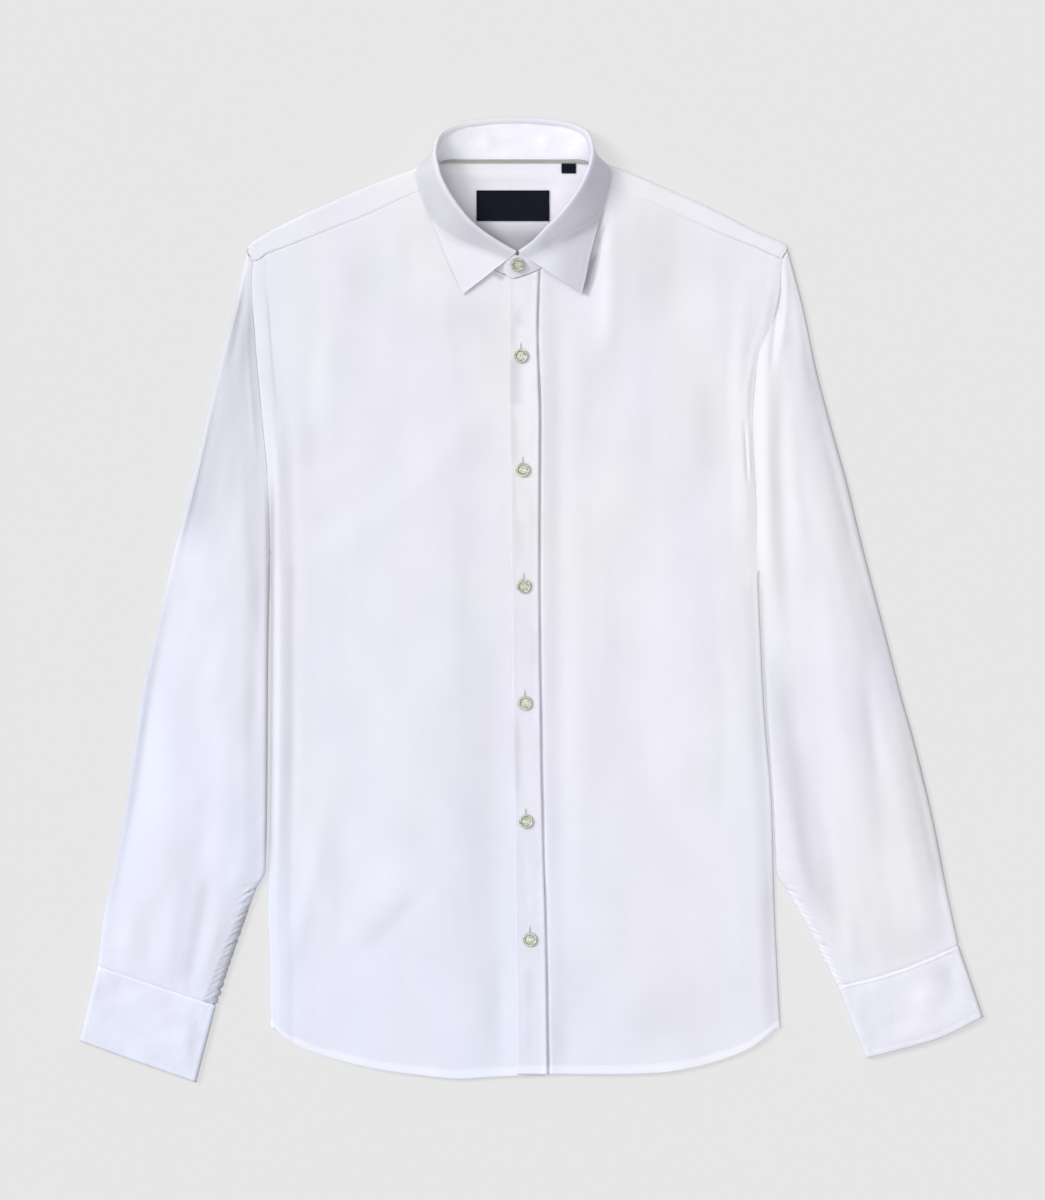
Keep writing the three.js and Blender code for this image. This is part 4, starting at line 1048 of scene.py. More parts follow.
def hem_painted_shade(side, x, y):
    """Painted light on the hem's band, and a painted shadow line along its edge."""
    from_hem = y - hem_line[side](x)
    band = smooth(from_hem, 0.6, 1.6) * fade(from_hem, HEM_WIDTH - 1, HEM_WIDTH + 0.6)
    return 0.7 * bell(from_hem, 0.7) - 0.24 * band


def front_painted_shade(side, x, y, z):
    """Painted shade and light: the hem's, painted shadow lines beside the placket's sewn edge and
    at the left side's fold, and the table's.
    """
    tone = painted_shade_and_uneven_tone(x, y, BODY_PAINTED_SHADE) + hem_painted_shade(side, x, y)
    if side == "left":
        # Painted shadow of the placket's raised sewn edge: a wavy dark line beside it, on the left
        # front.
        line = mix(0.6, 0.8, smooth(y, 40, 90)) * (0.8 + 0.3 * ripple(0 * x, y, 30, 105))
        tone += line * smooth(y, -393, -383) * bell(x - placket_inner(y) - 0.9, 0.75)
        # Painted shade along the fold of the left side.
        tone += 0.6 * bell(body_edge[side](y) - x, 1) * side_closed(side, y)
    return tone * (z > 1.5)


def back_panel():
    """The back, pressed flat but for its shallow creases, up to the yoke's seam."""
    down = graded(650, 6, (0, 1), (12, 2))[:, None]
    fractions = graded(430, 5, (10, 2.5), (10, 2.5))
    top = BACK_YOKE_SEAM - SEAM_GAP
    nominal = mix(BODY_EDGE["right"][-1][1], BODY_EDGE["left"][-1][1], fractions)
    bottom = np.where(nominal < 0, hem_line["right"](nominal), hem_line["left"](nominal)) + 1
    y = mix(top, bottom, down)
    ends = []
    for side in SIDES:
        inset = mix(SEAM_GAP / 2, FOLD_REACH + TURN_UNDER + 2 * SEAM_GAP, side_closed(side, y))
        ends.append(body_edge[side](y) - SIGN[side] * inset)
    x = mix(ends[0], ends[1], fractions)
    inward = smooth(x, ends[0], ends[0] + 30) * smooth(ends[1] - x, 0, 30) * smooth(y, -390, -350)
    pressed = np.clip(folds(x, y, BACK_FOLDS), 0, 1) + 0.12 + 0.12 * ripple(x, y, 60, 31)
    return np.stack([x, y, inward * pressed * smooth(top - y, 0, 20)], -1)


def placket_strip():
    """The strip that lies on the left front, from its free edge to its sewn edge."""
    down = graded(668, 1.9, (8, 1.2), (12, 1.1))[:, None]
    fractions = graded(26, 1.15, (2, 0.5), (2, 0.5))
    nominal = mix(placket_outer(TOP_LEVEL), placket_inner(TOP_LEVEL), fractions)
    y = mix(front_neck["left"](nominal) - NECK_GAP, hem_line["left"](nominal), down)
    x = mix(placket_outer(y), placket_inner(y), fractions)
    z = front_height("left", x, y) + left_lap(x, y) + PLACKET_LIFT
    width = placket_inner(y) - placket_outer(y)
    from_free, from_sewn = fractions * width, (1 - fractions) * width
    for away, seed in ((from_free, 41), (from_sewn, 42)):
        z -= 0.16 * bell(away - PLACKET_STITCH, 1.1) + 0.4 * fade(away, 0, 0.9)
        z += puckers(y, away - PLACKET_STITCH, 0.22, 7, 4, seed)
    z += FOLD_STRENGTH * folds(x, y, PLACKET_FOLDS) + 0.2 * ripple(x, y, 24, 43)
    z += (0.75 + 0.5 * ripple(0 * x, y, 60, 44)) * fade(from_sewn, 0, 7)
    z += 0.3 * fade(y - hem_line["left"](x), HEM_WIDTH - 1, HEM_WIDTH + 1)
    return np.stack([x, y, z], -1)


def neck_rise(x, y):
    """How far the yoke lies above the surface, over the collar's leaf behind the neck."""
    beside = fade(np.abs(x - NECK_MIDDLE), 80, 100)
    return NECK_REST * beside * smooth(y, 341, 353)


# Steps down a yoke half: over the strip, round the fold and under to the back seam
YOKE_STRIP, YOKE_FOLD, YOKE_END = 2, 7, 12
YOKE_STRIP_STEPS = 15
yoke_start = through([(-3, 0), (0, 0.6), (2, 2.4), (6, 5.2), (11, 6.6), (16, YOKE_FOLD)])
yoke_fall = through([(YOKE_FOLD, 0), (8, 0.06), (9, 0.13), (10, 0.21), (11, 0.5), (YOKE_END, 1)])


def yoke_half(side):
    """From the front seam over the shoulder, under and down to the back seam. Between the
    shoulders it starts at the neck seam, on the layer that lies on the surface."""
    sign = SIGN[side]
    fractions = graded(216, 2.3, (8, 1.2), (0, 1))
    down = np.concatenate([
        np.linspace(0, YOKE_STRIP, YOKE_STRIP_STEPS), np.linspace(YOKE_STRIP, YOKE_FOLD, 15)[1:],
        np.linspace(YOKE_FOLD, YOKE_END, 32)[1:]
    ]) / YOKE_END
    x = mix(body_edge[side](TOP_LEVEL), NECK_MIDDLE, fractions)
    fold_x = np.where(fractions == 0, BODY_EDGE[side][0][1] - sign, x)
    fold = shoulder_fold(fold_x)
    seam = yoke_seam(x) + SEAM_GAP
    in_neck = smooth(inside_neck(side, x), 2, 14)
    reach = mix(np.minimum(FOLD_REACH, (fold - seam) * 0.45), 0.4, in_neck)
    level = fold - reach
    bottom = neck_rise(x, level)
    place = mix(yoke_start(inside_neck(side, x)), YOKE_END, down[:, None])
    strip_y = mix(seam - 1.1 * (1 - in_neck), level, np.clip(place / YOKE_STRIP, 0, 1))
    turn = np.clip((place - YOKE_STRIP) / (YOKE_FOLD - YOKE_STRIP), 0, 1) * math.pi
    under_y = mix(level, BACK_YOKE_SEAM + SEAM_GAP, yoke_fall(np.maximum(place, YOKE_FOLD)))
    y = np.where(place < YOKE_FOLD, level + reach * np.sin(turn), under_y)
    y = np.where(place < YOKE_STRIP, strip_y, y)
    past_strip = np.clip(place - YOKE_STRIP, 0, 1)
    edge = body_edge[side](y) + sign * mix(ARMHOLE_LAP, -SEAM_GAP, past_strip)
    at_x = mix(edge, NECK_MIDDLE, fractions)
    strip_z = front_height(side, at_x, np.minimum(y, level)) + 0.4
    dip = 0.36 * fade(y - seam, -1.1, 0.4)
    strip_z += puckers(at_x, y - seam - 1.4, 0.2, 8, 5, 51) - dip
    strip_z += puckers(y, np.abs(edge - at_x) - ARMHOLE_STITCH, 0.2, 7, 5, 52)
    level_z = front_height(side, at_x, level + 0 * y) + 0.4
    half = (level_z - bottom) / 2
    top_z = np.where(place < YOKE_STRIP, strip_z, bottom + half * (1 + np.cos(turn)))
    lining = neck_rise(at_x, y) + np.clip(folds(at_x, y, NECK_LINING_FOLDS), 0, 2)
    return np.stack([at_x, y, np.where(place < YOKE_FOLD, top_z, lining)], -1).transpose(1, 0, 2)


def yoke_panel():
    """Both halves in one grid, from shoulder to shoulder."""
    right, left = yoke_half("right"), yoke_half("left")
    return np.concatenate([right, left[-2::-1]])


def sleeve_tube(side):
    """A flattened tube, open along the armhole: underside, outer edge, top and inner edge."""
    sign = SIGN[side]
    outer_rows, inner_rows = SLEEVE_OUTER[side], SLEEVE_INNER[side]
    top = yoke_seam(body_edge[side](TOP_LEVEL)) + 1.6
    bottom = inner_rows[-1][0]
    fallen = graded(top - bottom, 2.6, (12, 1.4), (106, 1.15))[:, None]
    y = mix(top, bottom, fallen)
    far_y = mix(outer_rows[0][0], outer_rows[-1][0], fallen)
    far_x = through(outer_rows)(far_y)
    at_armhole = body_edge[side](y) + sign * SEAM_GAP
    near_x = np.where(y >= ARMPIT[side], at_armhole, through(inner_rows)(y))
    width = np.hypot(near_x - far_x, y - far_y)
    closed = side_closed(side, y)
    reach = np.minimum(FOLD_REACH, width * 0.4)
    under_end = mix(width, width - reach - TURN_UNDER - SEAM_GAP, closed)
    groove, seam_dip = (0.3, 0.5) if side == "right" else (0.08, 0.3)

    def crown(distance):
        rise = smooth(distance - reach, -2, SLEEVE_FALL[side]) * smooth(width - distance, -1, 22)
        at_seam = (1 - closed) * fade(width - distance, 0, 5)
        at_cuff = mix(1, 0.1, smooth(fallen, 0.95, 1))
        return SLEEVE_DOME * rise * at_cuff - seam_dip * at_seam

    turns = np.radians(np.linspace(-75, 90, 12))
    tops = graded(96, 1.75, (10, 1.2), (14, 1.0))[1:]
    top_end = mix(width - OPEN_STRIP, width - reach, closed)
    unders = np.linspace(0, 1, 14)
    under_d = mix(under_end, reach, unders)
    arc_d = reach - reach * np.cos(turns)
    top_d = mix(reach, top_end, tops)
    end_z = SLEEVE_EDGE_HEIGHT + crown(top_end)
    girth = math.pi / 2 * (reach + end_z / 2) + TURN_UNDER
    out, up = folded_edge(TURN_STEPS * girth, end_z, reach)
    edge_d = top_end + mix(TURN_STEPS, out, closed)
    edge_z = mix(end_z * (1 - groove * TURN_STEPS), up, closed)
    arc_z = SLEEVE_EDGE_HEIGHT / 2 * (1 + np.sin(turns)) + 0 * arc_d
    top_z = SLEEVE_EDGE_HEIGHT + crown(top_d)
    distance = np.concatenate([under_d, arc_d, top_d, edge_d], 1)
    z = np.concatenate([0 * under_d, arc_z, top_z, edge_z], 1)
    low = smooth(GATHERS_TOP - 4 - y, 0, 14)
    scallop = low * puckers(y, 0 * y, 1.0, 5.2, 5, 69)
    upper = np.concatenate([0 * under_d, 0 * arc_d, 0 * top_d + 1, 0 * edge_d + 1], 1)
    distance = distance + upper * scallop * smooth(distance, width - 8, width - 1)
    tuck = smooth(fallen, 1 - 3.5 / (top - bottom), 1)
    fraction = 0.5 + (distance / width - 0.5) * (1 - 0.024 * tuck)
    x, place_y = mix(far_x, near_x, fraction), mix(far_y, y, fraction)
    place_y = place_y - CUFF_SAG[side] * smooth(fallen, 0.85, 1) * np.sin(math.pi * fraction)
    on_top = np.zeros_like(z)
    first = len(unders) + len(turns)
    last = first + len(tops)
    rim = smooth(top_d, 2, 9) * mix(1, smooth(width - top_d, 2, 9), closed)
    on_top[:, first:last] = rim
    lean = x + (0.25 if side == "right" else -0.22) * -place_y
    own = int(sign)
    wrinkles = FOLD_STRENGTH * folds(x, place_y, SLEEVE_FOLDS[side])
    wrinkles = rippled(wrinkles, x, place_y, (0.3, 38, 61 + own))
    wrinkles = wrinkles + 0.2 * streaks(lean, place_y, 24, 63 + own)
    z += on_top * rippled(wrinkles, x, place_y, (0.07, 15, 65))
    from_inner = width - distance
    gathers = puckers(place_y, from_inner - SLEEVE_STITCH, 0.5, 7.0, 7, 66)
    gathers *= smooth(ARMPIT[side] - 60 - place_y, 0, 200)
    slanted, away = place_y + 0.7 * from_inner, np.maximum(from_inner - 6, 0)
    gathers += low * puckers(slanted, away, 1.3, 5.2, 2.5, 68)
    z += upper * gathers * closed * np.clip(z / 4, 0, 1)
    to_cuff = (1 - fallen) * (top - bottom)
    z += on_top * puckers(x, to_cuff, 0.35, 9, 9, 67) * smooth(to_cuff, 0, 3)
    under_yoke = fade(fallen * (top - bottom), 1, 4.5)
    z *= (1 - 0.2 * tuck) * (1 - 0.25 * under_yoke)
    return np.stack([x, place_y, z], -1), first, last


def gathers_painted_shade(side, x, y):
    """Painted light and painted shade by turns in the gathers above the cuff; on the right sleeve,
    painted shade over the gathered band and darker still along its inner edge.
    """
    from_inner = np.abs(x - through(SLEEVE_INNER[side])(y))
    low = smooth(GATHERS_TOP - y, 0, 14)
    wave = np.sin(2 * math.pi * (y + 0.7 * from_inner) / 4.8 + 1.6 * ripple(0 * x, y, 40, 107))
    if side == "left":
        return 0.36 * wave * low * bell(from_inner - SLEEVE_STITCH, 3.6)
    reach = 5 + 0.07 * (-230 - y)
    inside = fade(from_inner, reach - 1.5, reach + 1.5)
    at_edge = fade(from_inner, 3.2, 5) * smooth(-246 - y, 0, 16)
    return np.minimum(low * (inside * (0.5 + 0.22 * wave) + 0.65 * at_edge), 1.1)


def cuff_ring(side):
    """A flattened ring from the sleeve's seam to the cuff's end: outer edge, top, inner edge and
    underside. Also the columns of its top and its painted shade and painted light."""
    outer_end = np.array(SLEEVE_OUTER[side][-1][::-1], float)
    inner_end = np.array(SLEEVE_INNER[side][-1][::-1], float)
    corners = np.array([outer_end, inner_end, CUFF_END[side][0], CUFF_END[side][-1]])
    middle = corners.mean(axis=0)
    end_edge = by_length(CUFF_END[side])
    width = math.hypot(*(outer_end - inner_end))
    half = CUFF_HEIGHT / 2
    turns = np.radians(np.linspace(-90, 90, 14))
    flat = graded(width - 2 * FOLD_REACH, 2.0)[1:-1]
    level = mix(FOLD_REACH, width - FOLD_REACH, flat)
    arc = FOLD_REACH * (1 - np.cos(turns))
    distance = np.concatenate([arc, level, width - arc, level[::-1]])
    rise, fall = half * (1 + np.sin(turns)), half * (1 - np.sin(turns))
    z = np.concatenate([rise, 0 * flat + CUFF_HEIGHT, fall, 0 * flat])
    on_top = np.zeros(len(distance))
    first, last = len(turns), len(turns) + len(flat)
    on_top[first:last] = 1
    fraction = distance / width
    down = graded(66, 1.9, (7, 0.9), (8, 0.9))[:, None]
    sag = CUFF_SAG[side] * np.sin(math.pi * fraction)
    near = mix(outer_end, inner_end, fraction[:, None]) - np.stack([0 * sag, sag], -1)
    far = end_edge(fraction)
    length = np.hypot(*(far - near).T)
    start = mix(0.5, -1.2, smooth(z, 1.5, 4.5)) / length
    place = mix(start, 1, down)[..., None]
    x, y = np.moveaxis(mix(near, far, place), -1, 0)
    from_seam, from_end = place[..., 0] * length, (1 - place[..., 0]) * length
    from_side = np.minimum(distance, width - distance) + 0 * x
    away = np.hypot(x - middle[0], y - middle[1])
    underside = np.zeros(len(distance))
    underside[last + len(turns):] = 1
    z = z + underside * CUFF_ARCH * fade(away, *CUFF_ARCH_REACH)
    relief = FOLD_STRENGTH * folds(x, y, CUFF_FOLDS[side])
    relief = rippled(relief, x, y, (0.3, 24, 71), (0.1, 9, 74))
    edge = np.minimum(np.minimum(from_end, from_side), 40)
    relief -= 0.3 * bell(edge - CUFF_STITCH, 1.2)
    relief += puckers(x + y, edge - CUFF_STITCH, 0.22, 8, 4, 72)
    relief += 0.4 * fade(from_seam, 1.2, 2.4) - 0.2 * bell(from_seam - 2.8, 0.7)
    relief += puckers(x, from_seam - 2, 0.2, 6, 4, 73)
    z = z + on_top * relief
    squeeze = 0.35 * bell(from_seam + 1.2, 0.8) + 0.4 * bell(from_end, 0.7)
    z = z + (z > half) * -squeeze
    away_right = mix(distance, width - distance, float(side == "right")) + 0 * x
    # Painted light on the seam, painted shade and light from the table, and painted shade along the
    # end and the side towards +X where they turn under, on a tone that is a little uneven.
    tone = rippled(0, x, y, (0.1, 30, 104, 9), (0.06, 15, 106, 14)) - 0.3 * bell(from_seam, 1.5)
    tone += folds(x, y, CUFF_PAINTED_SHADE)
    tone += 0.9 * bell(from_end, 0.9) + 0.8 * bell(away_right, 1.3)
    return np.stack([x, y, z], -1), first, last, tone


# ---------------------------------------------------------------- collar


def collar_lines():
    """Curves through the collar's sections; the free edge is raised to rest on the fronts."""
    keys = range(len(COLLAR))
    edges = []
    for _, _, (x, y, z), _, lift in COLLAR:
        on_front = max(z, float(body_top(x, y)) + 0.95) + lift
        edges.append((x, y, on_front if z > 3 else z))
    return {
        "seam": through_points(keys, [row[0] for row in COLLAR]),
        "fold": through_points(keys, [row[1] for row in COLLAR]),
        "edge": through_points(keys, edges),
        "roll": through([(i, row[3]) for i, row in enumerate(COLLAR)]),
    }


def collar_frame(at):
    """Places round the collar, with the direction up the stand and out over its fold."""
    lines = collar_lines()
    seam, fold, edge = lines["seam"](at), lines["fold"](at), lines["edge"](at)
    last = len(COLLAR) - 1
    up = fold - seam
    up /= np.linalg.norm(up, axis=1, keepdims=True)
    along = lines["fold"](np.minimum(at + 0.2, last)) - lines["fold"](np.maximum(at - 0.2, 0))
    out = np.cross(up, along)
    out /= np.linalg.norm(out, axis=1, keepdims=True)
    return seam, fold, edge, up, out, lines["roll"](at) * LEAF_FOLD


def collar_stand():
    """The band round the neck, from its right end to its left one, and its relief."""
    at = np.linspace(0, len(COLLAR) - 1, 190)
    seam, fold, _, up, _, _ = collar_frame(at)
    top = fold - up * (LEAF_SEAM_DROP + SEAM_GAP)
    levels = np.linspace(0, 1, 17)[:, None]

    def end_rows(sections, places):
        curve = by_length([[*low, *high] for low, high in sections])
        return [mix(curve(place)[:3], curve(place)[3:], levels) for place in places]

    grid = np.array([
        *end_rows(STAND_END_RIGHT, np.linspace(1, 0, 8)),
        *(mix(low, high, levels) for low, high in zip(seam, top)),
        *end_rows(STAND_END_LEFT, np.linspace(0, 1, 8)),
    ])
    gone = gone_along(grid[:, 8])[:, None]
    relief = 0.8 * ripple(gone, 30 * levels.T, 26, 81) + 0.35 * ripple(gone, 9 * levels.T, 11, 82)
    return grid, relief * np.sin(math.pi * levels.T)


def stand_mottle_and_painted_light(x, y):
    """Mottled tone, and painted light towards the back of the neck."""
    return rippled(0, x, y, (0.1, 18, 83), (0.06, 7, 84)) - 0.36 * smooth(y, 335, 372)


def collar_leaf():
    """Starts at the stand, turns over at the fold and falls to its free edge. Behind the neck it
    is pressed flat on the surface, under the yoke. Also its height at the free edge and the width
    of its steep part."""
    at = np.linspace(0, len(COLLAR) - 1, 230)
    _, fold, edge, up, out, roll = collar_frame(at)
    roll = roll[:, None]
    section = [
        fold - up * (LEAF_SEAM_DROP + 0.7) - out * 0.8,
        fold - up * LEAF_SEAM_DROP - out * 0.7,
        fold - up * mix(LEAF_SEAM_DROP, roll, 0.5) - out * 0.3,
    ]
    spring = fold - up * roll
    for angle in np.radians(np.linspace(0, 180, 13)):
        section.append(spring + out * roll * (1 - math.cos(angle)) + up * roll * math.sin(angle))
    shoulder = section[-1]
    height = edge[:, 2]
    bulge = LEAF_BULGE * smooth(height, 1, 5)
    pressed = fade(height, 0.6, 1.5)
    width = np.hypot(*(edge - shoulder).T[:2])
    band = through(LEAF_BAND)(at)

    def left_to_fall(along):
        """How much of the height is left: an even slope that eases out at the leaf's bend."""
        bend = 1 - along * width / (band + 3)
        return 0.5 * (bend + np.sqrt(bend**2 + 0.03))

    for fall in graded(56, 1.9, (0, 1), (9, 0.8))[1:]:
        point = mix(shoulder, edge, fall)
        start, here, end = left_to_fall(0), left_to_fall(fall), left_to_fall(1)
        lying = mix(shoulder[:, 2], height, (start - here) / (start - end))
        point[:, 2] = mix(lying, mix(shoulder[:, 2], height, 1 - (1 - fall) ** 3), pressed)
        section.append(point + out * (bulge * math.sin(math.pi * fall))[:, None])
    return np.array(section).transpose(1, 0, 2), height, band[:, None]


def leaf_relief(grid, height):
    """Soft waves, the pressed line of stitching and the thin edge of the leaf."""
    rows = np.arange(len(grid))
    from_end = np.minimum(rows, rows[::-1])[:, None] * LEAF_ROW_STEP
    near = np.minimum(gone_along(grid[:, ::-1], axis=1)[:, ::-1], from_end)
    rise = 0.22 * ripple(grid[..., 0], grid[..., 1], 30, 91) * smooth(height, 1, 4)[:, None]
    rise = rise * smooth(np.arange(grid.shape[1]), 15, 25)
    return rise - 0.12 * bell(near - COLLAR_STITCH, 1.2) - 0.3 * fade(near, 0, 0.9)


def leaf_painted_shade(grid, steep, left_half):
    """Painted shade on the steep part beside the fold and on the left point, painted light on the
    flat of the right half, and the table's painted shade.
    """
    x, y, _ = np.moveaxis(grid, -1, 0)
    from_fold = np.hypot(*np.moveaxis(grid - grid[:, LEAF_FOLD_TOP, None], -1, 0)[:2])
    band = smooth(from_fold, 1, 4) * fade(from_fold, steep - 1.5, steep + 2)
    flat = smooth(from_fold, steep, steep + 3) * smooth(350 - y, 0, 20)
    point = mix(0.1, 0.55, smooth(x, 10, 34))
    tone = band * mix(0.32, 0.37, left_half) + flat * mix(-0.08, point, left_half)
    return tone + painted_shade_and_uneven_tone(x, y, LEAF_PAINTED_SHADE)


def neck_shade(x, y):
    """Painted shade low in the neck opening and along its right wall."""
    low = smooth(322 - y, 0, 26)
    beside = fade(x - through(NECK_WALL)(y), 2, 17)
    return np.clip(low * 1.25 + beside * 0.62 * smooth(368 - y, 0, 20), 0, 1.2)


def neck_tape():
    """The tape over the seam of the stand and the yoke, behind the neck."""
    at = np.linspace(7.35, 12.6, 110)
    seam, _, _, up, out, _ = collar_frame(at)
    on_stand = seam - out * 1.6 + up * 0.5
    on_yoke = seam + np.array([0, -2.5, 1.5])
    return np.array([mix(on_stand, on_yoke, t) for t in np.linspace(0, 1, 6)]).transpose(1, 0, 2)


def patch(rectangle, height):
    """A small rectangle of cloth lying flat, and each point's distance in from its edge."""
    left, right, low, high = rectangle
    x = np.linspace(left, right, round(right - left) + 1)
    y = np.linspace(high, low, round(high - low) + 1)[:, None]
    grid = np.stack([x + 0 * y, y + 0 * x, height + 0 * x * y], -1)
    edge = np.minimum(np.minimum(x - left, right - x), np.minimum(y - low, high - y))
    return grid, edge


def label_relief(grid, edge):
    """Turned edge, a pressed line of stitching and a faint wave."""
    relief = rippled(0, grid[..., 0], grid[..., 1], (0.25, 24, 95))
    relief = relief - 0.25 * fade(edge, 0, 1) + 0.25 * fade(edge, 2.4, 3.4)
    return relief - 0.2 * bell(edge - LABEL_STITCH, 0.6)


# ---------------------------------------------------------------- buttons
# Holes of a button from its middle, as a part of its radius
HOLE_SPREAD = 0.2
# Strands of thread through the holes: thickness, and offset to each side of a hole
STRAND_RADIUS = 0.24 * MM
STRAND_OFFSET = 0.16 * MM
# Buttonhole below and above its button's middle, half its width, and where dark thread paints the
# shade in its slit
HOLE_BELOW, HOLE_ABOVE = 3.5, 11.5
HOLE_SIDE = 0.75
SLIT = (5.6, 10)


def rods(places, **shape):
    """Cylinders of one shape at each place, joined in one object."""
    added = []
    for place in places:
        bpy.ops.object.select_all(action="DESELECT")
        bpy.ops.mesh.primitive_cylinder_add(location=place, **shape)
        added.append(bpy.context.active_object)
    for rod in added:
        rod.select_set(True)
    bpy.ops.object.join()
    return bpy.context.active_object


def bevelled(obj, width, segments, angle):
    """Round the edges that are sharper than an angle in degrees."""
    bevel = obj.modifiers.new("edge", "BEVEL")
    bevel.width, bevel.segments, bevel.limit_method = width, segments, "ANGLE"
    bevel.angle_limit = math.radians(angle)
    bpy.ops.object.modifier_apply(modifier=bevel.name)


def make_button(name, radius, thickness):
    """A four-hole button with a raised rim, turned, dished and drilled."""
    bpy.ops.object.select_all(action="DESELECT")
    bpy.ops.mesh.primitive_cylinder_add(
        vertices=56, radius=radius, depth=thickness, location=(0, 0, thickness / 2))
    obj = bpy.context.active_object
    obj.name = obj.data.name = name
    bpy.ops.object.transform_apply(location=True)
    bpy.ops.object.mode_set(mode="EDIT")
    bpy.ops.mesh.select_mode(type="FACE")
    bpy.ops.mesh.select_all(action="DESELECT")
    bpy.ops.object.mode_set(mode="OBJECT")
    for face in obj.data.polygons:
        face.select = face.normal.z > 0.9 and len(face.vertices) > 4
    bpy.ops.object.mode_set(mode="EDIT")
    for inset, drop in ((0.2, 0), (0.1, 0.12), (0.08, 0.2), (0.2, 0.02)):
        bpy.ops.mesh.inset(thickness=radius * inset, depth=-thickness * drop)
    bpy.ops.object.mode_set(mode="OBJECT")
    bevelled(obj, radius * 0.075, 4, 50)
    spread = radius * HOLE_SPREAD
    corners = ((spread, spread), (-spread, spread), (-spread, -spread), (spread, -spread))
    cutter = rods([(x, y, thickness / 2) for x, y in corners],
                  vertices=16, radius=radius * 0.115, depth=thickness * 3)
    select_only(obj)
    drill = obj.modifiers.new("holes", "BOOLEAN")
    drill.operation, drill.solver, drill.object = "DIFFERENCE", "EXACT", cutter
    bpy.ops.object.modifier_apply(modifier=drill.name)
    bpy.data.objects.remove(cutter)
    select_only(obj)
    bpy.ops.object.shade_smooth_by_angle(angle=math.radians(35))
    reach = np.array([math.hypot(v.co.x, v.co.y) / radius for v in obj.data.vertices])
    # Painted shade marks: the rim's side and the wall of the dish.
    mark_points(obj, "deep", 0.9 * smooth(reach, 0.9, 0.99) + 0.8 * bell(reach - 0.66, 0.07))
    return obj


def copy_to(pattern, name, at, tilt, turn):
    """A copy with its own mesh, tilted, turned and placed."""
    obj = pattern.copy()
    obj.data = pattern.data.copy()
    obj.name = obj.data.name = name
    bpy.context.scene.collection.objects.link(obj)
    select_only(obj)
    obj.rotation_euler = (tilt, 0, turn)
    obj.location = at
    bpy.ops.object.transform_apply(location=True, rotation=True, scale=True)
    return obj


def make_button_thread(name, radius, thickness):
    """Thread through the four holes: two pairs of strands side by side."""
    spread = radius * HOLE_SPREAD
    sides = (-spread - STRAND_OFFSET, -spread + STRAND_OFFSET,
             spread - STRAND_OFFSET, spread + STRAND_OFFSET)
    level = thickness * 0.68 + 0.12 * MM
    obj = rods([(x, 0, level) for x in sides],
               vertices=10, radius=STRAND_RADIUS, depth=spread * 2.3, rotation=(math.pi / 2, 0, 0))
    obj.name = obj.data.name = name
    bpy.ops.object.transform_apply(location=True, rotation=True)
    bevelled(obj, STRAND_RADIUS / 2, 2, 30)
    bpy.ops.object.shade_smooth_by_angle(angle=math.radians(50))
    return obj


def buttonhole_marks(surface, places):
    """Thread across both sides of each buttonhole and over its ends, and dark thread along its slit
    that paints the slit's shade. The last result is 1 for these painted-shade marks."""
    outer, normal = (grid.reshape(-1, 3) for grid in surface)
    middles, aheads, ups, shaded = [], [], [], []
    for x, y in places:
        low, high = y - HOLE_BELOW, y + HOLE_ABOVE
        sides = [(x + side * HOLE_SIDE, at) for at in np.arange(low, high, 0.5) for side in (-1, 1)]
        ends = [(x + off, end) for end in (low - 0.5, high + 0.3) for off in (-0.5, 0, 0.5)]
        # Dark thread along the slit, which paints the shade in the open slit.
        slit = [(x, at) for at in np.arange(y + SLIT[0], y + SLIT[1], 0.7)]
        for mark in sides + ends + slit:
            near = np.argmin(np.hypot(outer[:, 0] - mark[0], outer[:, 1] - mark[1]))
            up = normal[near]
            lift = outer[near, 2] - ((mark - outer[near, :2]) @ up[:2]) / up[2]
            middles.append((*mark, lift + 0.05))
            ups.append(up)
            across = low <= mark[1] < high and mark not in slit
            shaded.append(float(mark in slit))
            aheads.append((1.0, 0.05, 0) if across else (0.05, 1.0, 0))
    return np.array(middles), np.array(aheads), np.array(ups), np.array(shaded)


# ---------------------------------------------------------------- settings
# Camera's film width in millimetres, the middle of its view and the gap below the cloth, in metres
SENSOR = 36
FRAME_MIDDLE = (-0.0073, -0.0004)
SURFACE_GAP = 0.0002


def colour_setting(name, description, default):
    return bpy.props.FloatVectorProperty(
        name=name, description=description, subtype="COLOR", size=4, min=0, max=1,
        default=(*default, 1.0))


def size_setting(name, description, default, low, high, **more):
    return bpy.props.FloatProperty(
        name=name, description=description, unit="LENGTH", default=default, min=low, max=high,
        **more)


def strength_setting(name, description, default):
    return bpy.props.FloatProperty(name=name, description=description, default=default, min=0)


def angle_setting(name, description, degrees):
    return bpy.props.FloatProperty(
        name=name, description=description, subtype="ANGLE", default=math.radians(degrees))


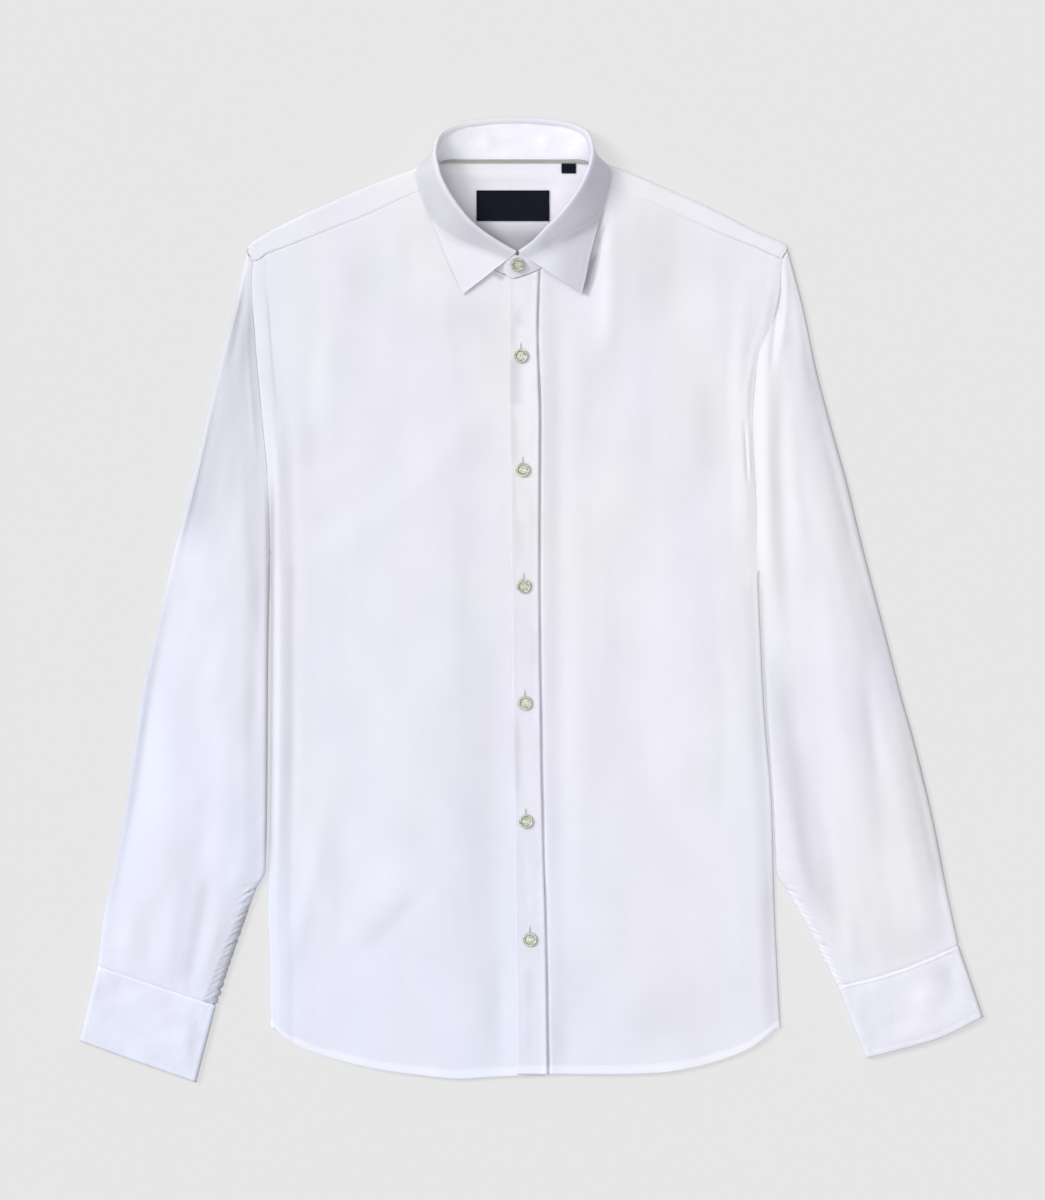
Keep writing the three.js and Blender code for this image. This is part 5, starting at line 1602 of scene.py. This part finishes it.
class ShirtFinish(bpy.types.PropertyGroup):
    """Colours and cloth sizes of the shirt."""

    cotton: colour_setting("Cotton", "Colour of the cloth", (0.835, 0.83, 0.86))
    cotton_cool: colour_setting(
        "Cotton, cool", "Colour that the cloth drifts to in places", (0.795, 0.82, 0.95))
    cotton_warm: colour_setting(
        "Cotton, lilac", "Colour that the cloth drifts to in other places", (0.83, 0.805, 0.91))
    thread: colour_setting("Thread", "Colour of the stitching", (0.83, 0.83, 0.87))
    tape: colour_setting("Neck tape", "Colour of the tape inside the neck", (0.43, 0.44, 0.39))
    label: colour_setting("Label", "Colour of the woven label", (0.0035, 0.0055, 0.0125))
    button: colour_setting("Buttons", "Colour of the buttons", (0.56, 0.59, 0.36))
    cloth_thickness: size_setting(
        "Cloth thickness", "Thickness of one ply", 0.0007, 0.0003, 0.001)
    stiff_thickness: size_setting(
        "Collar and cuff thickness", "Thickness of the lined pieces", 0.001, 0.0005, 0.0014)
    thread_pitch: size_setting(
        "Weave pitch", "Distance between threads of the weave", 0.00055, 0.0002, 0.002, precision=5)
    stitch_length: size_setting("Stitch length", "Length of one stitch", 0.0024, 0.001, 0.005)
    button_radius: size_setting("Button radius", "Radius of every button", 0.00575, 0.004, 0.007)
    button_thickness: size_setting(
        "Button thickness", "Thickness of every button", 0.0024, 0.001, 0.004)


class ShirtStage(bpy.types.PropertyGroup):
    """Surface, light and camera."""

    surface: colour_setting("Surface", "Colour of the surface under the shirt", (0.29, 0.29, 0.29))
    key: strength_setting("Key light", "Strength of the light from the left", 1.60)
    fill: strength_setting("Fill light", "Strength of the light from above", 0.95)
    sky: strength_setting("Sky light", "Strength of the even light all round", 0.35)
    elevation: angle_setting("Key elevation", "Height of the key light over the surface", 45)
    heading: angle_setting(
        "Key heading", "Where the key light comes from, turned from +X", 155)
    frame_height: size_setting(
        "Frame height", "Height of what the camera sees", 0.996, 0.1, 10.0)
    lens: bpy.props.FloatProperty(
        name="Lens", description="Focal length of the camera", unit="CAMERA", default=200, min=20)


def cotton_piece(finish, name, node, grid, **form):
    """A closed wall of the shirt's cloth that stands for a CAD node, and its outer surface."""
    piece, surface = cloth(name, grid, **form)
    fabric = material("fine_cotton", cotton_material, finish.cotton, finish.cotton_cool,
                      finish.cotton_warm, finish.thread_pitch)
    finish_piece(piece, fabric, "cotton", node)
    return piece, surface


def sewing_thread(finish):
    """The material of the stitching."""
    return material("sewing_thread", thread_material, finish.thread)


def stitch_piece(finish, name, lines, pitch=STITCH_PITCH):
    """A piece of running stitches along lines."""
    obj = stitched(name, lines, finish.stitch_length / MM, pitch)
    finish_piece(obj, sewing_thread(finish), "cotton")


class SHIRT_OT_back_and_yoke(bpy.types.Operator):
    """Lay the back and the yoke, which turns over the shoulders"""

    bl_idname = "shirt.back_and_yoke"
    bl_label = "Back and yoke"

    def execute(self, context):
        finish = context.scene.shirt_finish
        ply = finish.cloth_thickness / MM
        back, _ = cotton_piece(finish, "cloth_back", "back", back_panel(), thickness=ply)
        grid = yoke_panel()
        x, y, z = np.moveaxis(grid, -1, 0)
        # Painted shade in the neck on the inside layer, on an uneven tone, a little lighter all
        # over.
        tone = neck_shade(x, y) * (z < 2.5) + painted_shade_and_uneven_tone(x, y, ()) - 0.05
        yoke, surface = cotton_piece(
            finish, "cloth_yoke", "yoke", grid, thickness=ply, flip=True, deep=tone)
        lines = []
        first, last = YOKE_STITCH_ROWS
        for rows in (slice(first, last), slice(len(grid) - last, len(grid) - first)):
            strip = part_of(surface, rows, slice(0, YOKE_STRIP_STEPS))
            lines += lines_inside(strip, YOKE_STITCH, "first column")
        stitch_piece(finish, "stitches_yoke", lines)
        return {"FINISHED"}


class SHIRT_OT_fronts(bpy.types.Operator):
    """Lay both fronts, the left one over the right one"""

    bl_idname = "shirt.fronts"
    bl_label = "Fronts"

    def execute(self, context):
        finish = context.scene.shirt_finish
        ply = finish.cloth_thickness / MM
        plans = {
            "right": (lambda y: placket_inner(y) - 2, lambda x, y: 0 * x),
            "left": (lambda y: placket_outer(y) + 0.8, left_lap),
        }
        for side, (centre_edge, extra) in plans.items():
            grid = front_panel(side, centre_edge, extra)
            # Painted shade and painted light of each front.
            tone = front_painted_shade(side, *np.moveaxis(grid, -1, 0))
            front, surface = cotton_piece(
                finish, f"cloth_front_{side}", f"front_{side}", grid, thickness=ply,
                flip=side == "left", deep=tone)
            upper = part_of(surface, columns=slice(0, -len(TURN_STEPS)))
            hem = lines_inside(upper, HEM_STITCH, "last row")
            beside_armhole = grid[:, -1 - len(TURN_STEPS), 1] > ARMPIT[side] - 4
            armhole = lines_inside(part_of(upper, beside_armhole), ARMHOLE_STITCH, "last column")
            stitch_piece(finish, f"stitches_front_{side}", hem + armhole)
        return {"FINISHED"}


class SHIRT_OT_placket(bpy.types.Operator):
    """Sew the button strip on the left front, with its buttonholes"""

    bl_idname = "shirt.placket"
    bl_label = "Placket"

    def execute(self, context):
        finish = context.scene.shirt_finish
        grid = placket_strip()
        x, y, _ = np.moveaxis(grid, -1, 0)
        # Painted shade and light from the table and the hem's, a little darker all over.
        tone = 0.05 + painted_shade_and_uneven_tone(x, y, PLACKET_PAINTED_SHADE) + hem_painted_shade("left", x, y)
        strip, surface = cotton_piece(
            finish, "cloth_placket", "placket", grid, thickness=finish.cloth_thickness / MM,
            flip=True, deep=tone)
        lines = lines_inside(surface, PLACKET_STITCH, "first column", "last column")
        stitch_piece(finish, "stitches_placket", lines)
        *marks, shaded = buttonhole_marks(surface, BUTTONS)
        holes = thread_marks("buttonholes", *marks, length=1.15)
        # Painted shade: the slit's thread is marked to be drawn dark.
        mark_points(holes, "deep", np.repeat(shaded, THREAD_POINTS))
        finish_piece(holes, sewing_thread(finish), "cotton")
        return {"FINISHED"}


class SHIRT_OT_sleeves(bpy.types.Operator):
    """Lay both sleeves beside the body"""

    bl_idname = "shirt.sleeves"
    bl_label = "Sleeves"

    def execute(self, context):
        finish = context.scene.shirt_finish
        for side in SIDES:
            grid, first, last = sleeve_tube(side)
            x, y, z = np.moveaxis(grid, -1, 0)
            # Painted shade and painted light from the table and in the gathers, on the upper layer
            # only.
            tone = (painted_shade_and_uneven_tone(x, y, SLEEVE_PAINTED_SHADE[side]) + gathers_painted_shade(side, x, y)) * (z > 1)
            sleeve, surface = cotton_piece(
                finish, f"cloth_sleeve_{side}", f"sleeve_{side}", grid,
                thickness=finish.cloth_thickness / MM, flip=side == "right", deep=tone)
            gathered = part_of(surface, y[:, last - 1] < GATHERS_TOP, slice(first, last))
            lines = lines_inside(gathered, SLEEVE_STITCH, "last column")
            stitch_piece(finish, f"stitches_sleeve_{side}", lines)
        return {"FINISHED"}


class SHIRT_OT_cuffs(bpy.types.Operator):
    """Sew a stiff cuff on the end of each sleeve"""

    bl_idname = "shirt.cuffs"
    bl_label = "Cuffs"

    def execute(self, context):
        finish = context.scene.shirt_finish
        for side in SIDES:
            # The cuff's tone is painted shade and painted light.
            grid, first, last, tone = cuff_ring(side)
            cuff, surface = cotton_piece(
                finish, f"cloth_cuff_{side}", f"cuff_{side}", grid,
                thickness=finish.stiff_thickness / MM, ring=True, flip=side == "right",
                deep=tone, cool=0.3)
            top = part_of(surface, columns=slice(first - 4, last + 4))
            end, *sides = lines_inside(top, CUFF_STITCH, "last row", "first column", "last column")
            seam = lines_inside(top, CUFF_SEAM_STITCH, "first row")
            stitch_piece(finish, f"stitches_cuff_{side}", [end, *seam, *sides])
        return {"FINISHED"}


class SHIRT_OT_collar(bpy.types.Operator):
    """Stand the collar round the neck and turn its leaf down"""

    bl_idname = "shirt.collar"
    bl_label = "Collar"

    def execute(self, context):
        finish = context.scene.shirt_finish
        ply = finish.stiff_thickness / MM
        # The stand's and the leaf's tones are painted shade and painted light.
        grid, relief = collar_stand()
        stand, _ = cotton_piece(
            finish, "cloth_collar_stand", "collar_stand", grid, thickness=ply,
            relief=relief + ply / 2, deep=stand_mottle_and_painted_light(grid[..., 0], grid[..., 1]), cool=0.5)
        grid, height, steep = collar_leaf()
        left_half = smooth(grid[..., 0], -14, -2)
        leaf, surface = cotton_piece(
            finish, "cloth_collar_leaf", "collar_leaf", grid, thickness=ply,
            relief=leaf_relief(grid, height) + ply / 2,
            deep=leaf_painted_shade(grid, steep, left_half), cool=mix(0.35, 1, left_half))
        fall = part_of(surface, columns=slice(LEAF_FALL_START, None))
        lines = lines_inside(fall, COLLAR_STITCH, "last column", "first row", "last row")
        stitch_piece(finish, "stitches_collar", lines, pitch=2.8)
        return {"FINISHED"}


class SHIRT_OT_neck_trim(bpy.types.Operator):
    """Sew the tape, the bare label and the size tab inside the neck"""

    bl_idname = "shirt.neck_trim"
    bl_label = "Neck tape and label"

    def execute(self, context):
        finish = context.scene.shirt_finish
        tape, _ = cloth("cloth_neck_tape", neck_tape(), thickness=0.6, relief=0.35)
        twill = material("neck_tape_twill", tape_material, finish.tape)
        finish_piece(tape, twill, "tape", "neck_tape")
        satin = material("label_satin", label_material, finish.label)
        for name, node, rectangle, height, size in (
            ("woven_label", "neck_label", LABEL, 1.9, (0.06, 0.026)),
            ("size_label", "size_tab", SIZE_TAB, 3.4, (0.012, 0.01)),
        ):
            grid, edge = patch(rectangle, height)
            piece, surface = cloth(
                name, grid, thickness=0.5, relief=label_relief(grid, edge), flip=True)
            finish_piece(piece, satin, "label", node)
            if node == "neck_label":
                lines = lines_inside(surface, LABEL_STITCH, "first column", "last column")
                seam = stitched("stitches_label", lines, length=1.6, pitch=2.1, radius=0.16)
                finish_piece(seam, satin, "label")
        return {"FINISHED"}


class SHIRT_OT_buttons(bpy.types.Operator):
    """Sew on the six front buttons, the collar button and the two cuff buttons"""

    bl_idname = "shirt.buttons"
    bl_label = "Buttons"

    def execute(self, context):
        finish = context.scene.shirt_finish
        sizes = (finish.button_radius, finish.button_thickness)
        pattern = make_button("button_pattern", *sizes)
        thread = make_button_thread("button_thread_pattern", *sizes)
        pearl = material("button_pearl", button_material, finish.button)
        places = {}
        for i, (x, y) in enumerate(BUTTONS):
            height = float(front_height("left", x, y) + left_lap(x, y)) + PLACKET_LIFT
            places[f"button_{i + 1}"] = ((x, y, height), 0.0)
        places["button_collar"] = (COLLAR_BUTTON, math.radians(COLLAR_BUTTON_TILT))
        for side in SIDES:
            low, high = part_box(f"cuff_button_{side}")
            centre = [(a + b) / 2 / MM for a, b in zip(low, high)]
            places[f"cuff_button_{side}"] = ((centre[0], centre[1], 0.0), 0.0)
        for node, (at, tilt) in places.items():
            spot = [v * MM for v in at]
            turn = 0.35 * math.sin(7 * at[1])
            button = copy_to(pattern, f"pearl_{node}", spot, tilt, turn)
            finish_piece(button, pearl, "button", node)
            sewn = copy_to(thread, f"thread_{node}", spot, tilt, turn)
            finish_piece(sewn, sewing_thread(finish), "cotton")
        for obj in (pattern, thread):
            bpy.data.objects.remove(obj)
        return {"FINISHED"}


class SHIRT_OT_stage(bpy.types.Operator):
    """Make the pale surface, the lights and the camera"""

    bl_idname = "shirt.stage"
    bl_label = "Stage"

    def execute(self, context):
        stage = context.scene.shirt_stage
        bpy.ops.object.select_all(action="DESELECT")
        bpy.ops.mesh.primitive_plane_add(size=40, location=(0, 0, -SURFACE_GAP))
        floor = context.active_object
        floor.name = floor.data.name = "surface"
        floor.data.materials.append(material("pale_surface", surface_material, stage.surface))
        lights = (
            ("key", stage.key, math.pi / 2 - stage.elevation, 22),
            ("fill", stage.fill, 0.0, 60),
        )
        for name, strength, tilt, size in lights:
            bpy.ops.object.light_add(type="SUN", location=(-2, 2, 3))
            light = context.active_object
            light.name = light.data.name = name
            light.data.energy, light.data.angle = strength, math.radians(size)
            light.rotation_euler = (tilt, 0, stage.heading + math.pi / 2)
        world = bpy.data.worlds.new("even_light")
        world.use_nodes = True
        back = world.node_tree.nodes["Background"]
        back.inputs["Color"].default_value = (0.99, 0.99, 1.0, 1.0)
        back.inputs["Strength"].default_value = stage.sky
        context.scene.world = world
        context.scene.view_settings.view_transform = "Standard"
        distance = stage.frame_height * stage.lens / SENSOR
        bpy.ops.object.camera_add(location=(*FRAME_MIDDLE, distance), rotation=(0, 0, 0))
        camera = context.active_object
        camera.name = camera.data.name = "camera"
        camera.data.lens, camera.data.sensor_width = stage.lens, SENSOR
        context.scene.camera = camera
        return {"FINISHED"}


STEPS = (
    SHIRT_OT_stage, SHIRT_OT_back_and_yoke, SHIRT_OT_fronts, SHIRT_OT_placket, SHIRT_OT_sleeves,
    SHIRT_OT_cuffs, SHIRT_OT_collar, SHIRT_OT_neck_trim, SHIRT_OT_buttons,
)


class SHIRT_PT_panel(bpy.types.Panel):
    """Sizes, colours and pieces of the shirt"""

    bl_idname = "SHIRT_PT_panel"
    bl_label = "Shirt"
    bl_space_type = "VIEW_3D"
    bl_region_type = "UI"
    bl_category = "Shirt"

    def draw(self, context):
        for group in (context.scene.shirt_finish, context.scene.shirt_stage):
            box = self.layout.box()
            for name in group.__annotations__:
                box.prop(group, name)
        for step in STEPS:
            self.layout.operator(step.bl_idname)


CLASSES = (ShirtFinish, ShirtStage, *STEPS, SHIRT_PT_panel)


def register():
    """Make the settings, the operators and the panel known to Blender."""
    for entry in CLASSES:
        bpy.utils.register_class(entry)
    bpy.types.Scene.shirt_finish = bpy.props.PointerProperty(type=ShirtFinish)
    bpy.types.Scene.shirt_stage = bpy.props.PointerProperty(type=ShirtStage)


def unregister():
    """Take them away again."""
    del bpy.types.Scene.shirt_finish
    del bpy.types.Scene.shirt_stage
    for entry in reversed(CLASSES):
        bpy.utils.unregister_class(entry)


def main():
    """Build the shirt and its stage."""
    register()
    for step in STEPS:
        group, name = step.bl_idname.split(".")
        getattr(getattr(bpy.ops, group), name)()


if __name__ == "__main__":
    main()
